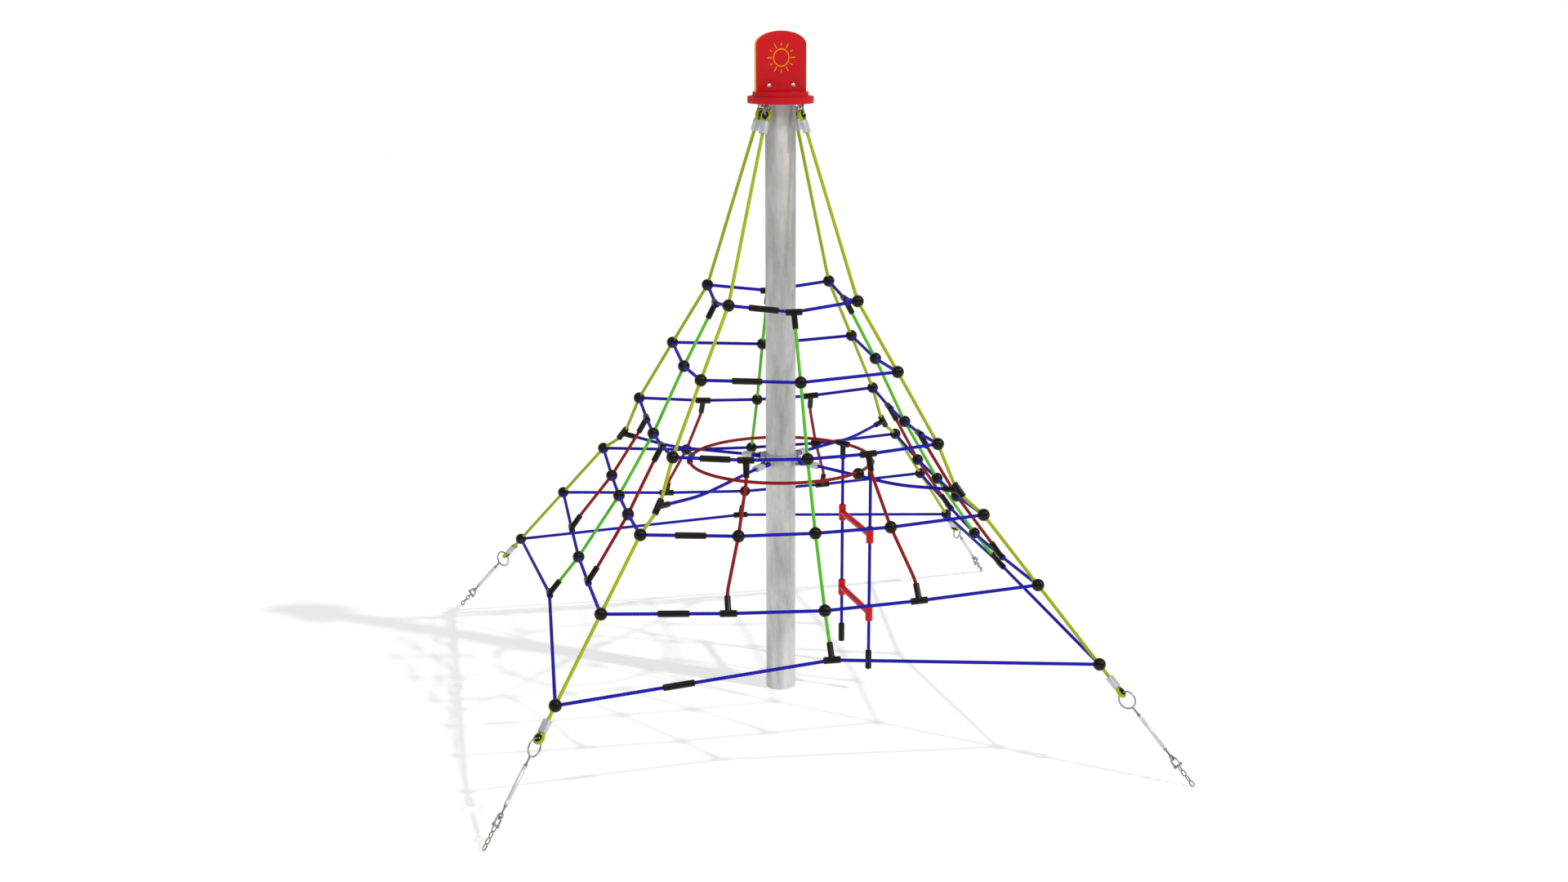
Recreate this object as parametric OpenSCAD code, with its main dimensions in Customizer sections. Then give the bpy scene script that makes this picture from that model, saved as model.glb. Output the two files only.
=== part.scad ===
// Rope pyramid climber: a steel mast carries a square net of six rope rings, a hoop and a rope ladder.
// The origin is on the ground at the foot of the mast. The sides of the net face +X, +Y, -X and -Y,
// and its four main ropes run over the corners, at 45, 135, 225 and 315 degrees.

/* [Mast] */
// Height of the mast tube
mast_h = 2793; // [2700:1:2900]
// Outer diameter of the mast tube
mast_d = 139.7; // [120:0.1:150]
// Wall of the mast tube
mast_wall = 4; // [3:0.5:8]

/* [Net] */
// Diameter of every rope
rope_d = 16; // [13.5:0.5:18]
// Side of the square on which the four anchors stand
anchor_side = 2990; // [2500:10:3600]
// Slope of the main ropes over the three lower rings, in degrees
foot_slope = 45; // [43:0.5:50]
// Rise from the ground to the lowest ring, then to the next two rings
lower_rise = [458, 304, 275]; // [250:1:500]
// Rise to each of the three upper rings
upper_rise = [290, 302, 300]; // [250:1:330]
// Run of a main rope over its rise, up to each of the three upper rings
upper_lean = [0.815, 0.7, 0.71]; // [0.6:0.005:0.9]
// Drop of the middle of each side below its corners, for the three lower rings
lower_sag = [-84, 49, 37]; // [-95:1:60]
// Drop of the middle of each side below its corners, for the three upper rings
upper_sag = [37, 27, 38]; // [0:1:60]
// How far the middle of each side stands outside its chord, for the three lower rings
lower_bow = [-66, 8, 7]; // [-80:1:20]
// How far the middle of each side stands outside its chord, for the three upper rings
upper_bow = [8, 10, 10]; // [0:1:20]
// Place of the brace ropes from the middle of a side to its corner, on rings two to four
brace_at = [0.437, 0.444, 0.462]; // [0.35:0.001:0.55]
// Dip of the ring ropes at the brace ropes, on rings two to four
brace_dip = [6, 10, 9]; // [0:1:15]
// Place of the joint sleeve along its stretch, for the three lower rings
lower_sleeve_at = [0.438, 0.567, 0.51]; // [0.35:0.001:0.6]
// Place of the joint sleeve along its stretch, for the three upper rings
upper_sleeve_at = [0.578, 0.46, 0.537]; // [0.35:0.001:0.6]

/* [Connectors] */
// Diameter of the ball connectors
ball_d = 56; // [50:0.5:60]
// Diameter of a tee's bar
tee_bar_d = 30; // [26:0.5:34]
// Length of a tee's bar
tee_bar_l = 73; // [65:1:90]
// Diameter of a tee's stem
tee_stem_d = 27; // [24:0.5:30]
// Length of a tee's stem, from the axis of its bar
tee_stem_l = 78; // [60:1:90]
// Diameter of the joint sleeves
sleeve_d = 28.5; // [24:0.5:34]
// Length of the joint sleeves
sleeve_l = 135; // [110:1:150]
// Clearance all round a rope in its connector
rope_gap = 0.2; // [0.15:0.05:0.4]

/* [Rope ends] */
// Width of the ferrules, across the two strands that they press together
ferrule_w = 38; // [36:1:44]
// Thickness of the ferrules
ferrule_t = 24; // [22:1:28]
// Length of the ferrules
ferrule_l = 57; // [45:1:70]
// Diameter of the hole through the thimbles
thimble_bore = 17; // [16:0.5:20]
// Side flange of the thimbles, past the bottom of their groove
thimble_rim = 5; // [4:0.5:6]
// Diameter of the shackle bows' wire
bow_wire = 8; // [7:0.5:8]
// Clearance of the shackle bows at each side of a thimble
bow_clear = 2; // [1.5:0.25:3]
// Diameter of the shackle pins
pin_d = 8; // [7:0.5:9]

/* [Head] */
// Distance of the top shackle pins from the surface of the mast
head_pin_gap = 32.15; // [29:0.05:38]
// Least depth of the top shackle pins below the steel plate
head_pin_drop = 14.5; // [14:0.5:20]
// Rim of the steel plate past the top shackle pins
plate_rim = 20; // [16:1:26]
// Thickness of the steel plate
head_plate_t = 8; // [6:1:12]
// Rim of the lower cap disc past the steel plate
cap_rim = 28; // [20:1:46]
// Thickness of the lower cap disc
cap_t = 30; // [24:1:36]
// Diameter of the upper cap disc
cap_ring_d = 253; // [246:1:270]
// Thickness of the upper cap disc
cap_ring_t = 20; // [12:1:30]
// Width of the sign panel
panel_w = 250; // [220:1:250]
// Height of the sign panel
panel_h = 267; // [240:1:300]
// Thickness of the sign panel
panel_t = 19; // [15:0.5:22]
// Rise of the panel's arched top
panel_arch = 62; // [40:1:80]
// Turn of the panel about the mast, in degrees
panel_turn = 15; // [0:1:45]
// Distance between the two bolts through the panel
panel_bolt_gap = 120; // [100:1:140]

/* [Collar and hoop] */
// Height of the middle of the mast collar
collar_z = 1139; // [1130:1:1150]
// Height of the collar band
collar_h = 58; // [40:1:70]
// Thickness of the collar band
collar_t = 5; // [4:0.5:8]
// Height of the inner tees above the third ring
inner_tee_rise = 94; // [80:1:110]
// How far the inner ropes pull the main ropes inwards
inner_pull = 50; // [40:1:60]
// Distance of the low point of the inner ropes from the axis of the mast
inner_low_r = 640; // [600:1:680]
// Depth of that low point below the line between the ends
inner_sag = 28; // [10:1:40]
// Radius of the hoop
hoop_r = 429; // [400:1:460]
// Direction of the hoop's joint sleeve, in degrees
hoop_sleeve_az = 167; // [150:1:200]

/* [Ladder] */
// Distance between the two ropes of the ladder
ladder_w = 400; // [360:1:440]
// Direction of the middle of the ladder, in degrees
ladder_az = 5.7; // [0:0.1:10]
// Height of the lower rung
rung_z = 398; // [360:1:440]
// Rise from rung to rung
rung_rise = 388; // [330:1:400]
// Diameter of the rungs
rung_d = 30; // [26:0.5:34]
// Diameter of the rungs' sockets
socket_d = 35; // [30:0.5:38]
// Height of the rungs' sockets
socket_h = 80; // [60:1:90]
// Diameter of the end sleeves
end_sleeve_d = 30; // [26:0.5:34]
// Length of the end sleeves
end_sleeve_l = 92; // [80:1:110]
// Height of the bottom of the ladder above the ground
ladder_foot = 115; // [60:1:160]

/* [Foot gear] */
// Distance from a lowest ball to the ferrule below it
foot_rope = 66; // [50:1:90]
// Diameter of the wire of the steel rings
ring_wire = 8; // [7:0.5:8]
// Outer diameter of the steel rings
ring_d = 84; // [76:1:92]
// Diameter of the threaded rods
rod_d = 10; // [8:0.5:11]
// Bare length of the upper rods
upper_rod_show = 34; // [25:1:40]
// Diameter of the turnbuckle bodies
turnbuckle_d = 18; // [16:0.5:22]
// Length of the turnbuckle bodies
turnbuckle_l = 170; // [150:1:180]
// Clear length of a chain link
link_l = 27; // [25:0.5:30]
// Clear width of a chain link
link_w = 11; // [10.5:0.5:13]
// Diameter of the chain links' wire
link_wire = 6; // [5:0.5:6]
// Links in each anchor chain
links = 4; // [2:2:6]

/* [Hidden] */
$fn = 48;

yellow = [0.68, 0.74, 0.05];
blue = [0.08, 0.07, 0.7];
green = [0.3, 0.75, 0.15];
dark_red = [0.55, 0.03, 0.04];
cap_red = [0.8, 0.05, 0.06];
black = [0.1, 0.09, 0.08];
steel = [0.72, 0.72, 0.71];
alloy = [0.85, 0.85, 0.86];

sides = [0:3];
rings = [0:5];
seat = 0.3;              // gap between pieces that seat on each other
bend_gap = 0.1;          // gap between the two straight lengths of rope at a bend
rope_r = rope_d / 2;
bore_d = rope_d + 2 * rope_gap;

// Net: heights and corner radii of the rings, from the lowest up
rise = concat(lower_rise, upper_rise);
sag = concat(lower_sag, upper_sag);
bow = concat(lower_bow, upper_bow);
sleeve_at = concat(lower_sleeve_at, upper_sleeve_at);
anchor_r = anchor_side / sqrt(2);
function ring_h(i) = i < 0 ? 0 : ring_h(i - 1) + rise[i];
function ring_r(i) = i < 3 ? anchor_r - ring_h(i) / tan(foot_slope) : ring_r(i - 1) - upper_lean[i - 3] * rise[i];

function polar(r, az, z) = [r * cos(az), r * sin(az), z];
function unit(v) = v / norm(v);
function corner_az(k) = 45 + 90 * k;
function corner(i, k) = polar(ring_r(i), corner_az(k), ring_h(i));
function middle(i, k) = polar(ring_r(i) * cos(45) + bow[i], 90 * k, ring_h(i) - sag[i]);
// Brace s = -1 lies towards the corner before side k, s = 1 towards the corner after it
function brace(i, k, s) =
    let (m = middle(i, k), c = corner(i, s < 0 ? k - 1 : k))
    m + brace_at[i - 1] * (c - m) - [0, 0, brace_dip[i - 1]];

// Depth of the rope ends in their connectors
least_angle = 52;        // smallest angle between two ropes in a ball
ball_stop = (rope_r + rope_gap) / tan(least_angle / 2) + 0.1;
tee_stop = 3;
stem_stop = rope_r + rope_gap + 4;
slant_stop = 2.7 * rope_r;   // in the inner tees, whose stems are not square to their bars

// Rope end: an eye round a thimble, closed by a ferrule
eye_r = rope_r + thimble_bore / 2 + 3.5;
eye_open = asin((rope_r + rope_gap) / eye_r);
eye_out = eye_r + rope_r;
thimble_w = rope_d + 2;
ferrule_at = eye_out * cos(eye_open) + seat;
ferrule_bore = ferrule_l - 16;
ferrule_round = 7.5;

// Shackle: from the axis of its pin to the middle of the wire in its bow
bow_w = thimble_w + 2 * bow_clear;
bow_r = (bow_w + bow_wire) / 2;
lug_r = 9;
lug_t = 8;
eye_at = eye_out + lug_r + 0.8;
shackle_l = eye_at + 0.5;
ear_d = pin_d + 6.5;
pin_bore = pin_d + 1;
pin_l = bow_w + 2 * bow_wire;
pin_head_d = pin_d + 3;
pin_head_l = 3.5;

// Head
head_pin_r = mast_d / 2 + head_pin_gap;
head_plate_d = 2 * (head_pin_r + plate_rim);
cap_d = head_plate_d + 2 * cap_rim;
head_lean = atan((ring_r(5) - head_pin_r) / (mast_h - ring_h(5)));
ear_reach = (bow_r + bow_wire / 2) * sin(head_lean) + ear_d / 2 * cos(head_lean);
pin_reach = (pin_l / 2 + seat + pin_head_l) * sin(head_lean) + pin_head_d / 2 * cos(head_lean);
head_pin_z = mast_h - max(head_pin_drop, ear_reach + 1, pin_reach + 1);
cap_top = mast_h + cap_t;
ring_top = cap_top + cap_ring_t;
function head_pin(k) = polar(head_pin_r, corner_az(k), head_pin_z);
function head_dir(k) = unit(corner(5, k) - head_pin(k));

// Collar and inner ropes
collar_pin_r = mast_d / 2 + seat + collar_t + 16;
inner_tee_z = ring_h(2) + inner_tee_rise;
inner_tee_r = ring_r(2) + (ring_r(3) - ring_r(2)) * inner_tee_rise / rise[3] - inner_pull;
function collar_pin(k) = polar(collar_pin_r, corner_az(k), collar_z);
function inner_tee(k) = polar(inner_tee_r, corner_az(k), inner_tee_z);
function inner_low(k) =
    let (t = (inner_low_r - collar_pin_r) / (inner_tee_r - collar_pin_r))
    collar_pin(k) + t * (inner_tee(k) - collar_pin(k)) - [0, 0, inner_sag];
function collar_dir(k) = unit(inner_low(k) - collar_pin(k));
// Direction of the main rope through an inner tee, upwards
function inner_bar(k) =
    unit(unit(corner(3, k) - inner_tee(k)) + unit(inner_tee(k) - corner(2, k)));

// Hoop: it lies on the inner ropes
hoop_step = rope_d + 0.9;
function inner_z(r) =
    let (a = collar_pin(0), b = inner_low(0))
    a.z + (b.z - a.z) * (r - collar_pin_r) / (inner_low_r - collar_pin_r);
hoop_z = inner_z(hoop_r) + hoop_step;
hoop_cut = 1 / hoop_r * 180 / PI;

// Ladder: it hangs from two tees on the hoop and swings on the line through its rope tops
ladder_half = asin(ladder_w / 2 / hoop_r);
ladder_top = hoop_z - tee_stem_l;
swing_z = ladder_top - seat - rope_r;
function ladder_side(s) = polar(hoop_r, ladder_az + s * ladder_half, 0);

// Foot gear: distances s from the lowest ball, down the line of the main rope
foot_dir = [cos(foot_slope), -sin(foot_slope)];
function foot_vec(k) = [foot_dir[0] * cos(corner_az(k)), foot_dir[0] * sin(corner_az(k)), foot_dir[1]];
function foot(k, s) = corner(0, k) + s * foot_vec(k);
foot_eye = foot_rope + ferrule_l + ferrule_at;
ring_r_mid = (ring_d - ring_wire) / 2;
ring_curve = ceil(10 * (ring_r_mid - sqrt(pow(ring_r_mid, 2) - pow(thimble_w / 2, 2)))) / 10;
ring_in_eye = thimble_bore / 2 - ring_wire / 2 - seat - ring_curve;
foot_ring = foot_eye + ring_in_eye + ring_r_mid;
rod_from = foot_ring + ring_r_mid;
nut_t = 8;
nut_af = 15;
body_from = rod_from + ring_wire / 2 + upper_rod_show + nut_t + 2 * seat;
link_r = (link_w + link_wire) / 2;
link_half = (link_l + link_wire) / 2 - link_r;
link_pitch = link_l - seat;
last_link = (ring_h(0) - link_r - link_wire / 2) / sin(foot_slope) - link_half;
first_link = last_link - (links - 1) * link_pitch;
foot_pin = first_link - link_l / 2 + pin_d / 2 + seat;
rod_eye_r = 11;
rod_eye_wire = 9;
rod_eye = foot_pin - shackle_l + bow_wire / 2 + seat - (rod_eye_r - rod_eye_wire / 2);
thread_in = 50;
thread_gap = 0.3;

// Rope eyes: centre, and direction towards the rope
eyes = concat(
    [for (k = sides) [head_pin(k) + eye_at * head_dir(k), head_dir(k)]],
    [for (k = sides) [collar_pin(k) + eye_at * collar_dir(k), collar_dir(k)]],
    [for (k = sides) [foot(k, foot_eye), -foot_vec(k)]]
);
// Shackles: middle of the pin, and direction towards the bow
shackles = concat(
    [for (k = sides) [head_pin(k), head_dir(k)]],
    [for (k = sides) [collar_pin(k), collar_dir(k)]],
    [for (k = sides) [foot(k, foot_pin), -foot_vec(k)]]
);

// Turns +Z to the direction u at the point p; +Y stays level
module aim(p, u) translate(p) rotate([0, acos(u.z), atan2(u.y, u.x)]) children();
module torus(r, wire) rotate_extrude($fn = 96) translate([r, 0]) circle(d = wire);
module wire_arc(r, wire, from, to)
    rotate([0, 0, from]) rotate_extrude(angle = to - from, $fn = 96) translate([r, 0]) circle(d = wire);

// A rope is a list of [point, stop]; a stop is the bare distance left at a point, or -1 at a bend
function turn(path, i) =
    acos(min(1, unit(path[i][0] - path[i - 1][0]) * unit(path[i + 1][0] - path[i][0])));
function stop_at(path, i) =
    path[i][1] < 0 ? rope_r * tan(turn(path, i) / 2) + bend_gap : path[i][1];
module rope(path)
    for (i = [0:len(path) - 2]) {
        a = path[i][0];
        b = path[i + 1][0];
        u = unit(b - a);
        from = stop_at(path, i);
        aim(a + from * u, u) cylinder(d = rope_d, h = norm(b - a) - from - stop_at(path, i + 1));
    }
module rope_bore(p, u, from, l = 200) aim(p + from * u, u) cylinder(d = bore_d, h = l);

// The ball's poles lie along n, clear of its ropes
module ball(p, n, toward)
    difference() {
        aim(p, unit(n)) rotate([0, 0, 45]) sphere(d = ball_d);
        for (q = toward) rope_bore(p, unit(q - p), ball_stop - rope_gap);
    }

// A tee's bar lies on the rope between a and b, and its stem points along s
module tee(p, a, b, s, stop = stem_stop) {
    u = unit(unit(b - p) - unit(a - p));
    difference() {
        union() {
            aim(p - tee_bar_l / 2 * u, u) cylinder(d = tee_bar_d, h = tee_bar_l);
            aim(p, s) cylinder(d = tee_stem_d, h = tee_stem_l);
        }
        rope_bore(p, unit(a - p), tee_stop - rope_gap);
        rope_bore(p, unit(b - p), tee_stop - rope_gap);
        rope_bore(p, s, stop - rope_gap);
    }
}
// Square to the bar at p, towards q
function stem_dir(p, a, b, q) =
    let (u = unit(unit(b - p) - unit(a - p)), w = q - p) unit(w - (w * u) * u);
function stem_mouth(p, s) = p + (tee_stem_l + 2) * s;

// Rope eye at the origin, with its ferrule and rope towards +Z; the axis of the thimble is X
module eye_loop()
    rotate([0, 90, 0]) wire_arc(eye_r, rope_d, eye_open - 180, 180 - eye_open);
module thimble()
    rotate([0, 90, 0]) difference() {
        cylinder(r = eye_r - rope_r + thimble_rim, h = thimble_w, center = true);
        cylinder(d = thimble_bore, h = 2 * thimble_w, center = true);
        torus(eye_r, bore_d);
    }
module ferrule()
    translate([0, 0, ferrule_at]) difference() {
        linear_extrude(ferrule_l) {
            for (x = [-1, 1] * (ferrule_t / 2 - ferrule_round), y = [-1, 1] * (ferrule_w / 2 - ferrule_round))
                translate([x, y]) circle(r = ferrule_round);
            square([ferrule_t, ferrule_w - 2 * ferrule_round], center = true);
            square([ferrule_t - 2 * ferrule_round, ferrule_w], center = true);
        }
        translate([0, 0, ferrule_l - ferrule_bore]) cylinder(d = bore_d, h = ferrule_l);
    }
rope_in_ferrule = ferrule_at + ferrule_l - ferrule_bore + rope_gap;

// Ring i as a closed list of points, from the corner before side 3
function ring_side(i, k) =
    let (braced = i > 0 && i < 4, tees = i == 1 || i == 3, stop = tees ? tee_stop : ball_stop)
    concat(
        [[corner(i, k - 1), ball_stop]],
        braced ? [[brace(i, k, -1), stop]] : [],
        [[middle(i, k), i == 0 || i == 5 ? tee_stop : ball_stop]],
        braced ? [[brace(i, k, 1), stop]] : []
    );
function sleeve_end(i) = i > 0 && i < 4 ? brace(i, 3, -1) : middle(i, 3);
function sleeve_mid(i) = corner(i, 2) + sleeve_at[i] * (sleeve_end(i) - corner(i, 2));
function ring_path(i) =
    let (front = ring_side(i, 3))
    concat(
        [[sleeve_mid(i), 1]], [for (j = [1:len(front) - 1]) front[j]],
        ring_side(i, 0), ring_side(i, 1), ring_side(i, 2),
        [front[0], [sleeve_mid(i), 1]]
    );
module ring_rope(i) color(blue) rope(ring_path(i));

module sleeve(p, u)
    difference() {
        aim(p - (sleeve_l / 2 - 4) * u, u) {
            cylinder(d = sleeve_d, h = sleeve_l - 8);
            for (z = [0, sleeve_l - 8]) translate([0, 0, z]) intersection() {
                sphere(d = sleeve_d);
                cube([sleeve_d, sleeve_d, 8], center = true);
            }
        }
        aim(p - sleeve_l * u, u) cylinder(d = bore_d, h = 2 * sleeve_l);
    }

module mast()
    color(steel) difference() {
        cylinder(d = mast_d, h = mast_h, $fn = 96);
        translate([0, 0, -1]) cylinder(d = mast_d - 2 * mast_wall, h = mast_h + 2, $fn = 96);
    }

module head_plate()
    color(steel) difference() {
        union() {
            translate([0, 0, mast_h]) cylinder(d = head_plate_d, h = head_plate_t, $fn = 96);
            for (k = sides) intersection() {
                aim(head_pin(k), head_dir(k)) rotate([0, 90, 0]) {
                    cylinder(r = lug_r, h = lug_t, center = true);
                    translate([20, 0, 0]) cube([40, 2 * lug_r, lug_t], center = true);
                }
                translate([0, 0, mast_h - 60]) cylinder(d = head_plate_d, h = 60 + head_plate_t / 2);
            }
        }
        for (k = sides) aim(head_pin(k), head_dir(k)) rotate([0, 90, 0])
            cylinder(d = pin_bore, h = 2 * lug_t, center = true);
        for (p = cap_screw_spots) translate([p.x, p.y, mast_h - 1]) cylinder(d = screw_d + 0.4, h = 20);
    }

// Screws through the brackets and the cap into the head plate, as points in the turned panel frame
screw_d = 8;
function turned(x, y) = [x * cos(panel_turn) - y * sin(panel_turn), x * sin(panel_turn) + y * cos(panel_turn)];
bracket_t = 5;
bracket_w = 40;
bracket_l = 50;
screw_y = panel_t / 2 + seat + bracket_l / 2 + 4;
cap_screw_spots = [for (x = [-1, 1] * panel_bolt_gap / 2) turned(x, screw_y)];
panel_bolt_z = ring_top + 27;

module cap_disc()
    color(cap_red) difference() {
        translate([0, 0, mast_h]) cylinder(d = cap_d, h = cap_t, $fn = 96);
        translate([0, 0, mast_h - 1]) cylinder(d = head_plate_d + 2 * seat, h = head_plate_t + 1, $fn = 96);
        for (p = cap_screw_spots) translate([p.x, p.y, mast_h]) cylinder(d = screw_d + 0.4, h = 2 * cap_t);
    }

module cap_ring()
    color(cap_red) difference() {
        translate([0, 0, cap_top]) cylinder(d = cap_ring_d, h = cap_ring_t, $fn = 96);
        for (p = cap_screw_spots) translate([p.x, p.y, cap_top - 1]) cylinder(d = screw_d + 0.4, h = 2 * cap_ring_t);
    }

module panel_outline()
    polygon(concat(
        [[-panel_w / 2, 0], [panel_w / 2, 0], [panel_w / 2, panel_h - panel_arch]],
        [for (a = [3:3:177]) [
            panel_w / 2 * cos(a), panel_h - panel_arch + panel_arch * sin(a)
        ]],
        [[-panel_w / 2, panel_h - panel_arch]]
    ));

// Sun emblem, cut through the red skin into the yellow core
groove_w = 5;
groove_t = 2.5;
sun_r = 38;
sun_z = 150;
rays = 12;
module sun_grooves()
    translate([0, -panel_t / 2, sun_z]) rotate([90, 0, 0]) {
        difference() {
            cylinder(r = sun_r + groove_w / 2, h = 2 * groove_t, center = true);
            cylinder(r = sun_r - groove_w / 2, h = 3 * groove_t, center = true);
        }
        for (k = [0:rays - 1]) rotate([0, 0, 360 / rays * k]) translate([sun_r + 20, 0, 0])
            cube([k % 2 == 0 ? 24 : 14, groove_w, 2 * groove_t], center = true);
    }

module sign_panel()
    color(cap_red) translate([0, 0, ring_top]) rotate([0, 0, panel_turn]) difference() {
        rotate([90, 0, 0]) translate([0, 0, -panel_t / 2]) linear_extrude(panel_t) panel_outline();
        sun_grooves();
        for (x = [-1, 1] * panel_bolt_gap / 2) translate([x, 0, panel_bolt_z - ring_top])
            rotate([90, 0, 0]) cylinder(d = screw_d + 0.4, h = 2 * panel_t, center = true);
    }

module panel_brackets()
    color(steel) translate([0, 0, ring_top]) rotate([0, 0, panel_turn])
        for (x = [-1, 1] * panel_bolt_gap / 2) translate([x, panel_t / 2 + seat, 0]) difference() {
            union() {
                translate([-bracket_w / 2, 0, 0]) cube([bracket_w, bracket_l, bracket_t]);
                translate([-bracket_w / 2, 0, 0]) cube([bracket_w, bracket_t, bracket_l]);
            }
            translate([0, 0, panel_bolt_z - ring_top]) rotate([90, 0, 0])
                cylinder(d = screw_d + 0.4, h = 4 * bracket_t, center = true);
            translate([0, screw_y - panel_t / 2 - seat, 0]) cylinder(d = screw_d + 0.4, h = 4 * bracket_t, center = true);
        }

module dome_head() intersection() {
    translate([0, 0, -8]) sphere(r = 13);
    cylinder(r = 10.2, h = 10);
}

// Bolts with dome heads in front and nuts behind
module panel_bolts()
    color(alloy) translate([0, 0, panel_bolt_z]) rotate([0, 0, panel_turn])
        for (x = [-1, 1] * panel_bolt_gap / 2) translate([x, 0, 0]) {
            translate([0, -panel_t / 2 - seat, 0]) rotate([90, 0, 0]) dome_head();
            rotate([90, 0, 0]) translate([0, 0, -panel_t / 2 - bracket_t - 10])
                cylinder(d = screw_d, h = panel_t + bracket_t + 12);
            translate([0, panel_t / 2 + bracket_t + 2 * seat, 0]) rotate([-90, 0, 0]) cylinder(d = 15, h = 6.5, $fn = 6);
        }

module cap_screws()
    color(alloy) for (p = cap_screw_spots) translate([p.x, p.y, 0]) {
        translate([0, 0, ring_top + bracket_t + seat]) dome_head();
        translate([0, 0, mast_h + 1]) cylinder(d = screw_d, h = ring_top + bracket_t + seat - mast_h);
    }

module shackle_bows()
    color(alloy) for (s = shackles) aim(s[0], s[1]) difference() {
        union() {
            translate([0, 0, shackle_l - bow_r]) rotate([-90, 0, 0]) wire_arc(bow_r, bow_wire, -180, 0);
            for (x = [-1, 1] * bow_r) translate([x, 0, 0]) {
                cylinder(d = bow_wire, h = shackle_l - bow_r);
                rotate([0, 90, 0]) cylinder(d = ear_d, h = bow_wire, center = true);
            }
        }
        rotate([0, 90, 0]) cylinder(d = pin_d + 0.4, h = 100, center = true);
    }

module shackle_pins()
    color(alloy) for (s = shackles) aim(s[0], s[1]) rotate([0, 90, 0]) {
        cylinder(d = pin_d, h = pin_l + 2 * seat, center = true);
        for (m = [0, 1]) mirror([0, 0, m]) translate([0, 0, pin_l / 2 + seat]) cylinder(d = pin_head_d, h = pin_head_l);
    }

module thimbles() color(black) for (e = eyes) aim(e[0], e[1]) thimble();
module ferrules() color(alloy) for (e = eyes) aim(e[0], e[1]) ferrule();

module main_rope(k)
    color(yellow) {
        u = inner_bar(k);
        mouth = tee_bar_l / 2 + 2;
        rope([
            [eyes[k][0] + rope_in_ferrule * eyes[k][1], 0],
            [corner(5, k), ball_stop], [corner(4, k), ball_stop], [corner(3, k), ball_stop],
            [inner_tee(k) + mouth * u, -1], [inner_tee(k), tee_stop], [inner_tee(k) - mouth * u, -1],
            [corner(2, k), ball_stop], [corner(1, k), ball_stop], [corner(0, k), ball_stop],
            [eyes[8 + k][0] + rope_in_ferrule * eyes[8 + k][1], 0]
        ]);
        for (e = [eyes[k], eyes[8 + k]]) aim(e[0], e[1]) eye_loop();
    }

module side_rope(k)
    color(green) rope([
        [middle(0, k), stem_stop], [middle(1, k), ball_stop], [middle(2, k), ball_stop],
        [middle(3, k), ball_stop], [middle(4, k), ball_stop], [middle(5, k), stem_stop]
    ]);

function brace_ends(i, k, s) = [s < 0 ? corner(i, k - 1) : middle(i, k), s < 0 ? middle(i, k) : corner(i, k)];
function brace_stem(i, k, s) =
    let (e = brace_ends(i, k, s)) stem_dir(brace(i, k, s), e[0], e[1], brace(2, k, s));
module brace_ropes(k)
    color(dark_red) for (s = [-1, 1]) rope([
        [brace(1, k, s), stem_stop], [stem_mouth(brace(1, k, s), brace_stem(1, k, s)), -1],
        [brace(2, k, s), ball_stop],
        [stem_mouth(brace(3, k, s), brace_stem(3, k, s)), -1], [brace(3, k, s), stem_stop]
    ]);

module corner_balls()
    color(black) for (k = sides, i = rings) {
        up = i == 5 ? head_pin(k) : i == 2 ? inner_tee(k) - (tee_bar_l / 2 + 2) * inner_bar(k) : corner(i + 1, k);
        down = i == 0 ? foot(k, 100) : i == 3 ? inner_tee(k) + (tee_bar_l / 2 + 2) * inner_bar(k) : corner(i - 1, k);
        braced = i > 0 && i < 4;
        ball(corner(i, k), polar(1, corner_az(k), 1), [
            up, down,
            braced ? brace(i, k, 1) : middle(i, k),
            braced ? brace(i, k + 1, -1) : middle(i, k + 1)
        ]);
    }

module side_balls()
    color(black) for (k = sides, i = [1:4])
        ball(middle(i, k), polar(1, 90 * k, 0.6), [
            middle(i + 1, k), middle(i - 1, k),
            i < 4 ? brace(i, k, -1) : corner(i, k - 1),
            i < 4 ? brace(i, k, 1) : corner(i, k)
        ]);

module brace_balls()
    color(black) for (k = sides, s = [-1, 1]) {
        e = brace_ends(2, k, s);
        ball(brace(2, k, s), polar(1, 90 * k, 0.6), [
            e[0], e[1],
            stem_mouth(brace(1, k, s), brace_stem(1, k, s)), stem_mouth(brace(3, k, s), brace_stem(3, k, s))
        ]);
    }

module low_side_tees()
    color(black) for (k = sides)
        tee(middle(0, k), corner(0, k - 1), corner(0, k), unit(middle(1, k) - middle(0, k)));
module top_side_tees()
    color(black) for (k = sides)
        tee(middle(5, k), corner(5, k - 1), corner(5, k), unit(middle(4, k) - middle(5, k)));
module brace_tees(i)
    color(black) for (k = sides, s = [-1, 1]) {
        e = brace_ends(i, k, s);
        tee(brace(i, k, s), e[0], e[1], brace_stem(i, k, s));
    }
module ring_sleeves()
    color(black) for (i = rings) sleeve(sleeve_mid(i), unit(sleeve_end(i) - corner(i, 2)));

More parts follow.
